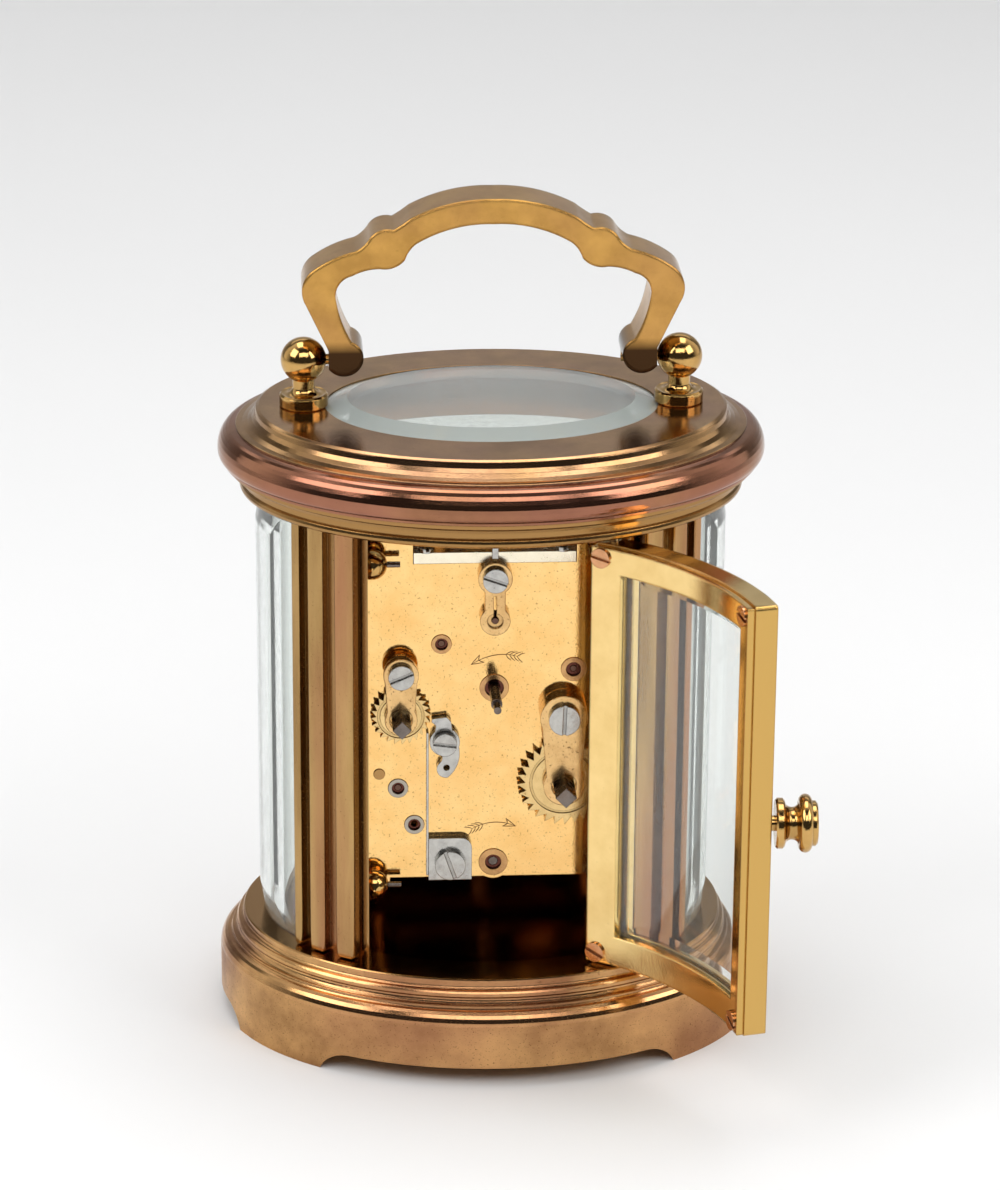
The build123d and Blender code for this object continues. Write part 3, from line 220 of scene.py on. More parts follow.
def start_group(
    name: str, takes: dict[str, float], gives: tuple[str, ...]
) -> tuple[bpy.types.NodeTree, Weave, bpy.types.Node, bpy.types.Node]:
    """Make a node group of plain values.

    Args:
        name: the group's name.
        takes: its inputs and their usual values.
        gives: its outputs.

    Returns:
        The group, a helper for its nodes, and the nodes of its inputs and its outputs.
    """
    group = bpy.data.node_groups.new(name, "ShaderNodeTree")
    for label, value in takes.items():
        socket = group.interface.new_socket(label, in_out="INPUT", socket_type="NodeSocketFloat")
        socket.default_value = value
    for label in gives:
        group.interface.new_socket(label, in_out="OUTPUT", socket_type="NodeSocketFloat")
    inside = group.nodes.new("NodeGroupInput")
    outside = group.nodes.new("NodeGroupOutput")
    return group, Weave(group), inside, outside


def mesh_piece(name: str, verts: list[Vector] | list[Point], faces: Faces) -> bpy.types.Object:
    """Make an object from vertices and faces.

    Args:
        name: name of the object and its mesh.
        verts: points in metres.
        faces: rings of vertex numbers.

    Returns:
        The object, in the scene.
    """
    mesh = bpy.data.meshes.new(name)
    mesh.from_pydata(verts, [], faces)
    piece = bpy.data.objects.new(name, mesh)
    bpy.context.scene.collection.objects.link(piece)
    return piece


@dataclass(frozen=True)
class Tarnish:
    """Clouds, rosy streaks, flecks and fine grain of handled brass."""

    cloud_band: Pair = (0.36, 0.66)
    rose_band: Pair = (0.42, 0.62)
    rose_size: float = 0.37
    fleck_edge: float = 0.70
    fleck_spread: float = 0.2
    fleck_slope: float = 14.0
    grain_scale: float = 5200.0

    def group(self) -> bpy.types.NodeTree:
        """Build the node group that the metals share.

        Returns:
            The node group.
        """
        group, weave, inside, outside = start_group(
            "Tarnish",
            {"Cloud Scale": 160.0, "Stretch": 1.0, "Fleck Scale": 1500.0, "Fleck Share": 0.3},
            ("Cloud", "Rose", "Fleck", "Grain"),
        )
        place = weave.place()
        stretch = weave.add("ShaderNodeCombineXYZ", None, X=1.0, Y=1.0, Z=inside.outputs["Stretch"])
        long = weave.add("ShaderNodeVectorMath", {"operation": "MULTIPLY"})
        weave.feed(long.inputs[0], place)
        weave.feed(long.inputs[1], stretch.outputs[0])
        scale = inside.outputs["Cloud Scale"]
        cloud = weave.noise(long.outputs[0], scale, detail=6.0, roughness=0.62)
        rose_scale = weave.math("MULTIPLY", scale, self.rose_size)
        rosy = weave.noise(long.outputs[0], rose_scale, detail=3.0)
        fleck = weave.noise(place, inside.outputs["Fleck Scale"], detail=4.0, roughness=0.7)
        grain = weave.noise(place, self.grain_scale, detail=2.0)
        spread = weave.math("MULTIPLY", inside.outputs["Fleck Share"], self.fleck_spread)
        edge = weave.math("SUBTRACT", self.fleck_edge, spread)
        spots = weave.math("MULTIPLY", weave.math("SUBTRACT", fleck, edge), self.fleck_slope)
        weave.feed(outside.inputs["Cloud"], weave.ramp(cloud, *self.cloud_band))
        weave.feed(outside.inputs["Rose"], weave.ramp(rosy, *self.rose_band))
        weave.feed(outside.inputs["Fleck"], weave.ramp(spots, 0.0, 1.0))
        weave.feed(outside.inputs["Grain"], grain)
        return group


@dataclass(frozen=True)
class Crevice:
    """Painted shade and grime in corners and grooves: darker where the surface is hidden close by.
    """

    reach: float = 0.002
    clean: float = 0.85
    dirty: float = 0.35
    rays: int = 4

    def group(self) -> bpy.types.NodeTree:
        """Build the node group that the metals share.

        Returns:
            The node group.
        """
        group, weave, inside, outside = start_group("Crevice", {"Reach": self.reach}, ("ShadeAndGrime",))
        # ambient occlusion finds hidden corners; darkening them is painted shade, with grime
        near = weave.add("ShaderNodeAmbientOcclusion", {"samples": self.rays, "only_local": True})
        weave.feed(near.inputs["Distance"], inside.outputs["Reach"])
        weave.feed(outside.inputs["ShadeAndGrime"], weave.ramp(near.outputs["AO"], self.clean, self.dirty))
        return group


@dataclass(frozen=True)
class Patch:
    """Part of a piece, beyond one level of one axis, that wears a different colour and gloss."""

    axis: str
    start: float
    full: float
    colour: Colour
    gloss: float

    def share(self, weave: Weave) -> Socket:
        """How much of the patch shows at each point.

        Args:
            weave: helper of the material that wears the patch.

        Returns:
            The value socket, 0 before start and 1 beyond full.
        """
        return weave.ramp(weave.part(weave.place(), self.axis), self.start, self.full)


@dataclass(frozen=True)
class OvalPatch(Patch):
    """Patch that shows only inside an upright oval."""

    half_length: float = 0.0334
    half_width: float = 0.0238
    soft_edge: float = 0.01

    def share(self, weave: Weave) -> Socket:
        """How much of the patch shows at each point.

        Args:
            weave: helper of the material that wears the patch.

        Returns:
            The value socket, 0 outside the oval.
        """
        place = weave.place()
        terms = []
        for axis, half in (("X", self.half_length), ("Y", self.half_width)):
            ratio = weave.math("DIVIDE", weave.part(place, axis), half)
            terms.append(weave.math("POWER", ratio, 2.0))
        reach = weave.math("ADD", *terms)
        within = weave.ramp(reach, 1.0 + self.soft_edge, 1.0 - self.soft_edge)
        return weave.math("MULTIPLY", within, super().share(weave))


@dataclass(frozen=True)
class Metal:
    """One metal finish: its colours, clouds of tarnish, flecks, painted shade and grime in corners,
    and gloss.
    """

    name: str
    bright: Colour
    dark: Colour
    rose: Colour
    cloud_share: float = 0.5
    rose_share: float = 0.2
    fleck_share: float = 0.3
    dirt_share: float = 0.6
    smooth: float = 0.16
    rough: float = 0.34
    cloud_scale: float = 160.0
    stretch: float = 1.0
    fleck_scale: float = 1500.0
    fleck_strength: float = 1.5
    fleck_dulls: float = 0.25
    # how dark the flecks and the painted corner shade get, as a share of the dark colour
    dirt_depth: float = 0.35
    grain_depth: float = 0.06
    grain_height: float = 0.0002
    edge_radius: float = 0.00012
    edge_rays: int = 6
    dull_below: float = 0.0
    dull_fade: float = 0.0004
    dull_gloss: float = 0.2
    patches: tuple[Patch, ...] = ()

    def material(
        self, tarnish: bpy.types.NodeTree, crevice: bpy.types.NodeTree
    ) -> bpy.types.Material:
        """Build the material.

        Args:
            tarnish: the shared tarnish group.
            crevice: the shared group of painted shade and grime in corners.

        Returns:
            The finished material.
        """
        material, weave, shader = start_material(self.name)
        marks = weave.add(
            "ShaderNodeGroup", {"node_tree": tarnish},
            Cloud_Scale=self.cloud_scale, Stretch=self.stretch,
            Fleck_Scale=self.fleck_scale, Fleck_Share=self.fleck_share,
        ).outputs
        corners = weave.add("ShaderNodeGroup", {"node_tree": crevice}).outputs
        fleck_share = min(1.0, self.fleck_share * self.fleck_strength)
        cloud = weave.math("MULTIPLY", marks["Cloud"], self.cloud_share)
        rosy = weave.math("MULTIPLY", marks["Rose"], self.rose_share)
        fleck = weave.math("MULTIPLY", marks["Fleck"], fleck_share)
        # corners and grooves darkened: painted shade, with grime
        shade_and_grime = weave.math("MULTIPLY", corners["ShadeAndGrime"], self.dirt_share)
        deep = tuple(self.dirt_depth * part for part in self.dark)
        colour = weave.blend(cloud, self.bright, self.dark)
        for share, tone in ((rosy, self.rose), (fleck, deep), (shade_and_grime, deep)):
            colour = weave.blend(share, colour, tone)
        gloss = weave.ramp(marks["Cloud"], 0.0, 1.0, self.smooth, self.rough)
        gloss = weave.math("ADD", gloss, weave.math("MULTIPLY", fleck, self.fleck_dulls))
        if self.dull_below:
            height = weave.part(weave.place(), "Z")
            full = self.dull_below - self.dull_fade
            dull = weave.ramp(height, self.dull_below, full, 0.0, self.dull_gloss)
            gloss = weave.math("ADD", gloss, dull)
        for patch in self.patches:
            share = patch.share(weave)
            colour = weave.blend(share, colour, patch.colour)
            gloss = weave.ramp(share, 0.0, 1.0, gloss, patch.gloss)
        weave.feed(shader.inputs["Base Color"], colour)
        weave.feed(shader.inputs["Roughness"], gloss)
        shader.inputs["Metallic"].default_value = 1.0
        rounded = weave.add("ShaderNodeBevel", {"samples": self.edge_rays}, Radius=self.edge_radius)
        bump = weave.add(
            "ShaderNodeBump", None, Strength=self.grain_depth, Distance=self.grain_height,
            Height=marks["Grain"], Normal=rounded.outputs[0],
        )
        weave.feed(shader.inputs["Normal"], bump.outputs[0])
        return material


@dataclass(frozen=True)
class BevelledGlass:
    """Clear glass: the faint green of its thickness, dust with painted sheen and, on a level pane,
    pale bevels of painted reflection.
    """

    name: str = "bevelled_glass"
    tint: Colour = (0.95, 0.985, 0.965)
    haze: Colour = (0.80, 0.86, 0.82)
    haze_share: float = 0.05
    haze_range: Pair = (0.6, 1.4)
    dust_scale: float = 900.0
    dust_band: Pair = (0.35, 0.7)
    smear_band: Pair = (0.6, 0.78)
    smear_gloss: float = 0.05
    bevel_share: float = 0.0
    bevel_slope: Pair = (0.995, 0.97)
    index: float = 1.42

    def material(self) -> bpy.types.Material:
        """Build the material."""
        material, weave, shader = start_material(self.name)
        shader.inputs["IOR"].default_value = self.index
        dust = weave.noise(weave.place(), self.dust_scale, detail=6.0, roughness=0.75)
        smear = weave.ramp(dust, *self.smear_band, 0.0, self.smear_gloss)
        weave.feed(shader.inputs["Roughness"], smear)
        # the dusty layer also carries painted sheen where its share is high
        thin, thick = (part * self.haze_share for part in self.haze_range)
        haze = weave.ramp(dust, *self.dust_band, thin, thick)
        # slightly tilted bevel faces turn pale: painted reflection
        if self.bevel_share:
            slope = weave.add("ShaderNodeNewGeometry").outputs["True Normal"]
            level = weave.math("ABSOLUTE", weave.part(slope, "Z"))
            bevel = weave.ramp(level, *self.bevel_slope, 0.0, self.bevel_share)
            haze = weave.math("MAXIMUM", haze, bevel)
        weave.feed(shader.inputs["Base Color"], weave.blend(haze, self.tint, self.haze))
        weave.feed(shader.inputs["Transmission Weight"], weave.math("SUBTRACT", 1.0, haze))
        return material


@dataclass(frozen=True)
class Enamel:
    """White vitreous enamel of the dials, with a faint warm mottle."""

    name: str = "dial_enamel"
    face: Colour = (0.87, 0.85, 0.79)
    shade: Colour = (0.80, 0.77, 0.69)
    mottle_scale: float = 240.0
    shade_band: Pair = (0.4, 0.7)
    gloss_band: Pair = (0.3, 0.7)
    gloss: Pair = (0.10, 0.2)
    coat: float = 0.5

    def material(self) -> bpy.types.Material:
        """Build the material."""
        material, weave, shader = start_material(self.name)
        mottle = weave.noise(weave.place(), self.mottle_scale, detail=5.0)
        colour = weave.blend(weave.ramp(mottle, *self.shade_band), self.face, self.shade)
        weave.feed(shader.inputs["Base Color"], colour)
        weave.feed(shader.inputs["Roughness"], weave.ramp(mottle, *self.gloss_band, *self.gloss))
        shader.inputs["Coat Weight"].default_value = self.coat
        return material


@dataclass(frozen=True)
class Ink:
    """Fired black of the numerals, and the painted shadow in an engraved line."""

    name: str
    deep: Colour
    pale: Colour
    gloss: float = 0.4
    metallic: float = 0.0
    mottle_scale: float = 2600.0

    def material(self) -> bpy.types.Material:
        """Build the material."""
        material, weave, shader = start_material(self.name)
        mottle = weave.noise(weave.place(), self.mottle_scale, detail=3.0)
        weave.feed(shader.inputs["Base Color"], weave.blend(mottle, self.deep, self.pale))
        shader.inputs["Roughness"].default_value = self.gloss
        shader.inputs["Metallic"].default_value = self.metallic
        return material


Finish = Metal | BevelledGlass | Enamel | Ink

UNDER_CORNICE = Patch("Z", start=0.0945, full=0.0939, colour=(0.36, 0.20, 0.07), gloss=0.2)
FLOOR_RIM = Patch("Z", start=0.0168, full=0.0169, colour=(0.40, 0.22, 0.08), gloss=0.12)
# Floor inside the case painted dark red-brown: painted shade and painted reflection of the dark
# interior.
FLOOR = OvalPatch("Z", start=0.0168, full=0.0169, colour=(0.26, 0.085, 0.03), gloss=0.07)
# Lower ends of the handle painted near black: painted shade.
HANDLE_END_SHADE = Patch("Z", start=0.1148, full=0.1128, colour=(0.05, 0.024, 0.010), gloss=0.12)
# Free stile of the open door in the darker tone: painted shade.
FREE_STILE_SHADE = Patch("Y", start=0.0517, full=0.0522, colour=(0.60, 0.37, 0.11), gloss=0.16)
# Pivots inside the plate's holes painted dark brown: painted shade in the holes.
PIVOT_HOLE_SHADE = Patch("Y", start=0.0098, full=0.0102, colour=(0.13, 0.07, 0.05), gloss=0.2)
ALARM_BUSHES = Patch("X", start=0.0105, full=0.0115, colour=(0.40, 0.36, 0.30), gloss=0.22)
PLATE_RIVET = Patch("X", start=0.0170, full=0.0173, colour=(0.42, 0.24, 0.09), gloss=0.22)
# Sink floors of the bushes painted dark red: painted shade in the recesses, with the red of the
# jewels.
SINK_SHADE_AND_JEWEL_RED = Patch("Y", start=0.0121, full=0.0118, colour=(0.10, 0.035, 0.025), gloss=0.08)

CORNICE = Metal(
    "cornice_patina", (0.38, 0.18, 0.09), (0.15, 0.068, 0.028), (0.33, 0.13, 0.095),
    cloud_share=0.6, rose_share=0.55, fleck_share=0.3, smooth=0.08, rough=0.2, cloud_scale=90.0,
    fleck_scale=2600.0, patches=(UNDER_CORNICE,),
)
TOP_RING = Metal(
    "top_ring_patina", (0.50, 0.29, 0.12), (0.24, 0.13, 0.055), (0.40, 0.21, 0.14),
    cloud_share=0.65, rose_share=0.45, fleck_share=0.42, smooth=0.06, rough=0.18,
    cloud_scale=120.0, fleck_scale=2600.0,
)
PLINTH = Metal(
    "plinth_patina", (0.74, 0.43, 0.17), (0.20, 0.09, 0.035), (0.42, 0.18, 0.10),
    cloud_share=0.85, rose_share=0.5, fleck_share=0.5, smooth=0.09, rough=0.22, cloud_scale=60.0,
    fleck_scale=3400.0, dull_below=0.0107, patches=(FLOOR_RIM, FLOOR),
)
PILLAR = Metal(
    "pillar_patina", (0.52, 0.33, 0.13), (0.24, 0.13, 0.045), (0.38, 0.155, 0.085),
    cloud_share=0.65, rose_share=0.7, fleck_share=0.4, dirt_share=0.85, smooth=0.12, rough=0.28,
    cloud_scale=230.0, stretch=0.12, fleck_scale=3400.0,
)
HANDLE = Metal(
    "handle_brass", (0.60, 0.33, 0.085), (0.32, 0.16, 0.04), (0.44, 0.22, 0.09),
    cloud_share=0.5, rose_share=0.3, fleck_share=0.25, smooth=0.10, rough=0.20, cloud_scale=200.0,
    fleck_scale=2600.0, edge_radius=0.0008, patches=(HANDLE_END_SHADE,),
)
TURNED = Metal(
    "turned_brass", (0.62, 0.38, 0.13), (0.32, 0.17, 0.05), (0.42, 0.22, 0.10),
    cloud_share=0.35, rose_share=0.1, fleck_share=0.2, smooth=0.06, rough=0.15, cloud_scale=300.0,
)
DOOR = Metal(
    "door_brass", (0.92, 0.67, 0.29), (0.62, 0.38, 0.11), (0.70, 0.44, 0.18),
    cloud_share=0.35, rose_share=0.1, fleck_share=0.2, smooth=0.04, rough=0.12, cloud_scale=160.0,
    edge_radius=0.0005, patches=(FREE_STILE_SHADE,),
)
GILT = Metal(
    "gilt_movement", (0.97, 0.64, 0.26), (0.82, 0.43, 0.11), (0.84, 0.44, 0.15),
    cloud_share=0.45, rose_share=0.15, fleck_share=0.5, dirt_share=0.3, smooth=0.04, rough=0.10,
    cloud_scale=200.0, fleck_scale=2600.0, grain_depth=0.03,
)
BRIDGE = Metal(
    "bridge_brass", (0.80, 0.52, 0.23), (0.54, 0.31, 0.11), (0.62, 0.36, 0.16),
    cloud_share=0.5, rose_share=0.2, fleck_share=0.55, dirt_share=0.5, smooth=0.10, rough=0.2,
    cloud_scale=420.0, fleck_scale=2600.0, grain_depth=0.03, edge_radius=0.0003,
)
WHEEL = Metal(
    "wheel_brass", (0.80, 0.57, 0.26), (0.50, 0.31, 0.10), (0.60, 0.37, 0.16),
    cloud_share=0.35, rose_share=0.1, fleck_share=0.15, dirt_share=0.8, smooth=0.12, rough=0.24,
    cloud_scale=400.0, patches=(PIVOT_HOLE_SHADE,),
)
RATCHET = replace(WHEEL, name="ratchet_brass", fleck_share=0.4, edge_radius=0.0001, patches=())
PLATFORM = Metal(
    "platform_plating", (0.96, 0.88, 0.70), (0.80, 0.70, 0.50), (0.84, 0.68, 0.46),
    cloud_share=0.3, rose_share=0.1, fleck_share=0.1, smooth=0.16, rough=0.28, cloud_scale=300.0,
)
STEEL = Metal(
    "polished_steel", (0.54, 0.53, 0.50), (0.30, 0.29, 0.28), (0.46, 0.40, 0.32),
    cloud_share=0.5, rose_share=0.15, fleck_share=0.25, smooth=0.12, rough=0.28,
    cloud_scale=700.0, edge_radius=0.0002,
)
DARK_STEEL = Metal(
    "oiled_steel", (0.20, 0.17, 0.15), (0.08, 0.065, 0.055), (0.25, 0.15, 0.10),
    cloud_share=0.5, rose_share=0.2, fleck_share=0.2, smooth=0.18, rough=0.34, cloud_scale=500.0,
)
BLUED = Metal(
    "blued_steel", (0.05, 0.09, 0.30), (0.03, 0.04, 0.13), (0.12, 0.06, 0.20),
    cloud_share=0.4, rose_share=0.3, fleck_share=0.05, smooth=0.14, rough=0.24, cloud_scale=260.0,
)
COPPER = Metal(
    "coppered_steel", (0.70, 0.36, 0.18), (0.40, 0.18, 0.08), (0.55, 0.28, 0.15),
    cloud_share=0.5, rose_share=0.2, fleck_share=0.3, smooth=0.14, rough=0.28, cloud_scale=600.0,
)
BUSH = Metal(
    "bush_bronze", (0.62, 0.36, 0.15), (0.34, 0.18, 0.07), (0.45, 0.22, 0.12),
    cloud_share=0.5, rose_share=0.3, fleck_share=0.3, dirt_share=0.9, smooth=0.14, rough=0.26,
    cloud_scale=600.0, patches=(ALARM_BUSHES, PLATE_RIVET, SINK_SHADE_AND_JEWEL_RED),
)
# Top pane: strong grey-green layer and pale bevels, painted reflection of the white surround over
# dust.
TOP_GLASS = BevelledGlass(
    "top_glass", haze=(0.42, 0.53, 0.48), haze_share=0.2, bevel_share=0.42, index=1.6
)
SIDE_GLASS = BevelledGlass("side_glass", haze_share=0.07)
FRONT_GLASS = BevelledGlass("front_glass", haze_share=0.02)
DOOR_GLASS = BevelledGlass()
DIAL_WHITE = Enamel()
DIAL_BLACK = Ink("dial_black", (0.012, 0.012, 0.014), (0.03, 0.03, 0.035))
# dark of the engraved lines: painted shadow of the cuts
ENGRAVED_LINE_SHADOW = Ink("engraved_line_shadow", (0.16, 0.08, 0.03), (0.26, 0.14, 0.05), 0.45, 0.8)


class Workshop:
    """Builds each finish once and hands it out again."""

    def __init__(self) -> None:
        """Make the shared groups."""
        self.tarnish = Tarnish().group()
        self.crevice = Crevice().group()
        self.made: dict[str, bpy.types.Material] = {}

    def material(self, finish: Finish) -> bpy.types.Material:
        """The finish's material, built on first use.

        Args:
            finish: the finish that a piece wears.

        Returns:
            Its material.
        """
        if finish.name not in self.made:
            shared = (self.tarnish, self.crevice) if isinstance(finish, Metal) else ()
            self.made[finish.name] = finish.material(*shared)
        return self.made[finish.name]


@dataclass
class Dressing:
    """Gives every carried-over node of one sub-assembly its finish."""

    title: str
    finishes: dict[str, Finish]

    def dress(self, frame: dict, workshop: Workshop) -> None:
        """Assign the materials.

        Args:
            frame: the loaded frame.
            workshop: where the materials are built once.
        """
        for node, finish in self.finishes.items():
            piece = frame["nodes"][node]
            material = workshop.material(finish)
            if not piece.material_slots:
                piece.data.materials.append(material)
            for place in piece.material_slots:
                place.material = material
            log.info("%s: %s in %s", self.title, node, finish.name)


CASE = Dressing("case", {
    "base_plinth": PLINTH,
    "cornice_ring": CORNICE,
    "top_plate": TOP_RING,
    "top_glass_retainer": CORNICE,
    "pillar_back_left": PILLAR,
    "pillar_back_right": PILLAR,
    "pillar_front_left": PILLAR,
    "pillar_front_right": PILLAR,
    "finials": TURNED,
    "handle": HANDLE,
    "case_screws": STEEL,
    "top_glass": TOP_GLASS,
    "side_glass_left": SIDE_GLASS,
    "side_glass_right": SIDE_GLASS,
    "front_glass": FRONT_GLASS,
})
BACK_DOOR = Dressing("back door", {
    "door_frame": DOOR,
    "door_retainer": DOOR,
    "door_knob": TURNED,
    "door_screws": COPPER,
    "door_pins": STEEL,
    "door_glass": DOOR_GLASS,
})
MOVEMENT = Dressing("movement", {
    "back_plate": GILT,
    "front_plate": GILT,
    "plate_pillars": TURNED,
    "taper_pins": DARK_STEEL,
    "movement_bars": GILT,
    "movement_screws": STEEL,
    "plate_bushes": BUSH,
    "contrate_cock": BRIDGE,
    "time_bridge": BRIDGE,
    "alarm_bridge": BRIDGE,
    "spring_block": STEEL,
    "click_spring": STEEL,
    "alarm_click": STEEL,
    "time_click": STEEL,
    "time_ratchet": RATCHET,
    "alarm_ratchet": RATCHET,
    "time_winding_arbor": DARK_STEEL,
    "alarm_winding_arbor": DARK_STEEL,
    "centre_arbor": DARK_STEEL,
    "alarm_arbor": DARK_STEEL,
    "barrel": WHEEL,
    "alarm_barrel": WHEEL,
    "intermediate_wheel": WHEEL,
    "centre_wheel": WHEEL,
    "fourth_wheel": WHEEL,
    "contrate_wheel": WHEEL,
    "alarm_wheel": WHEEL,
    "cannon_pinion": WHEEL,
    "minute_wheel": WHEEL,
    "hour_wheel": WHEEL,
    "platform_plate": PLATFORM,
    "balance_cock": GILT,
    "balance_wheel": WHEEL,
    "regulator": STEEL,
})
DIAL_SIDE = Dressing("dial side", {
    "dial_mask": GILT,
    "dials": DIAL_WHITE,
    "hour_hand": BLUED,
    "minute_hand": BLUED,
    "alarm_hand": BLUED,
})


@dataclass
class DialMarks:
    """Numerals and minute tracks, fired on the two enamel dials, with sizes in millimetres."""

    centre: Pair = (0.0, 59.4)
    alarm_centre: Pair = (0.0, 29.1)
    face: float = -15.8
    numerals: tuple[str, ...] = (
        "XII", "I", "II", "III", "IIII", "V", "VI", "VII", "VIII", "IX", "X", "XI"
    )
    numeral_radius: float = 12.6
    numeral_height: float = 3.4
    alarm_numeral_radius: float = 5.0
    alarm_numeral_height: float = 1.5
    type_size: float = 1.35
    track_radius: float = 15.4
    track_width: float = 0.9
    alarm_track_radius: float = 6.3
    alarm_track_width: float = 0.4
    marks: int = 60
    marks_per_hour: int = 5
    half_line: float = 0.06
    half_hour_line: float = 0.16
    circle_steps: int = 240
    relief: float = 0.03
    ink: Ink = DIAL_BLACK

    def numeral(
        self, words: str, centre: Pair, radius: float, height: float, turn: float
    ) -> bpy.types.Object:
        """Make one numeral as a mesh that faces the dial side.

        Args:
            words: the numeral.
            centre: the dial's centre, X and Z in millimetres.
            radius: distance of the numeral from the centre.
            height: height of the numeral.
            turn: clockwise angle from twelve, in degrees.

        Returns:
            The finished mesh object.
        """
        curve = bpy.data.curves.new("numeral_" + words, "FONT")
        curve.body = words
        curve.size = height * self.type_size * MM
        curve.align_x = "CENTER"
        curve.align_y = "CENTER"
        curve.extrude = self.relief * MM
        letters = bpy.data.objects.new("numeral", curve)
        bpy.context.scene.collection.objects.link(letters)
        bpy.context.view_layer.update()
        mesh = bpy.data.meshes.new_from_object(letters)
        bpy.data.objects.remove(letters)
        angle = math.radians(turn)
        upright = Matrix(((1, 0, 0, 0), (0, 0, -1, 0), (0, 1, 0, 0), (0, 0, 0, 1)))
        out = Matrix.Rotation(angle, 4, "Y") @ Matrix.Translation((0, 0, radius * MM)) @ upright
        middle = Matrix.Translation((centre[0] * MM, self.face * MM, centre[1] * MM))
        mesh.transform(middle @ out)
        piece = bpy.data.objects.new(f"dial_numeral_{words}_{int(turn)}", mesh)
        bpy.context.scene.collection.objects.link(piece)
        return piece

    def on_dial(self, centre: Pair, reach: float, angle: float) -> Vector:
        """Point just above a dial.

        Args:
            centre: the dial's centre, X and Z in millimetres.
            reach: distance from the centre, in millimetres.
            angle: clockwise angle from twelve, in radians.

        Returns:
            The point in metres.
        """
        x = (centre[0] + reach * math.sin(angle)) * MM
        z = (centre[1] + reach * math.cos(angle)) * MM
        return Vector((x, (self.face - self.relief) * MM, z))

    def track(self, name: str, centre: Pair, radius: float, width: float) -> bpy.types.Object:
        """Make a ring of marks between two thin circles.

        Args:
            name: name of the piece.
            centre: the dial's centre, X and Z in millimetres.
            radius: radius of the outer circle.
            width: distance between the circles.

        Returns:
            The finished mesh object.
        """
        verts: list[Vector] = []
        faces: Faces = []
        inner = radius - width
        for edge in (radius, inner):
            base = len(verts)
            for step in range(self.circle_steps):
                angle = math.tau * step / self.circle_steps
                for reach in (edge - self.half_line, edge + self.half_line):
                    verts.append(self.on_dial(centre, reach, angle))
            for step in range(self.circle_steps):
                a = base + 2 * step
                b = base + 2 * ((step + 1) % self.circle_steps)
                faces.append((a, a + 1, b + 1, b))
        for mark in range(self.marks):
            angle = math.tau * mark / self.marks
            half = self.half_line if mark % self.marks_per_hour else self.half_hour_line
            side = Vector((math.cos(angle), 0, -math.sin(angle))) * half * MM
            base = len(verts)
            for reach, way in ((radius, 1), (radius, -1), (inner, -1), (inner, 1)):
                verts.append(self.on_dial(centre, reach, angle) + way * side)
            faces.append((base, base + 1, base + 2, base + 3))
        return mesh_piece(name, verts, faces)

    def build(self, workshop: Workshop) -> None:
        """Build and dress all marks of both dials.

        Args:
            workshop: where the black of the numerals is made.
        """
        pieces = []
        main = (self.centre, self.numeral_radius, self.numeral_height)
        small = (self.alarm_centre, self.alarm_numeral_radius, self.alarm_numeral_height)
        hour_angle = 360.0 / len(self.numerals)
        for hour, words in enumerate(self.numerals):
            pieces.append(self.numeral(words, *main, hour_angle * hour))
        for hour in range(1, len(self.numerals) + 1):
            pieces.append(self.numeral(str(hour), *small, hour_angle * hour))
        for name, centre, radius, width in (
            ("minute_track", self.centre, self.track_radius, self.track_width),
            ("alarm_track", self.alarm_centre, self.alarm_track_radius, self.alarm_track_width),
        ):
            pieces.append(self.track(name, centre, radius, width))
        for piece in pieces:
            piece.data.materials.clear()
            piece.data.materials.append(workshop.material(self.ink))
            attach(piece, "case")
            log.info("dial marks: %s in %s", piece.name, self.ink.name)


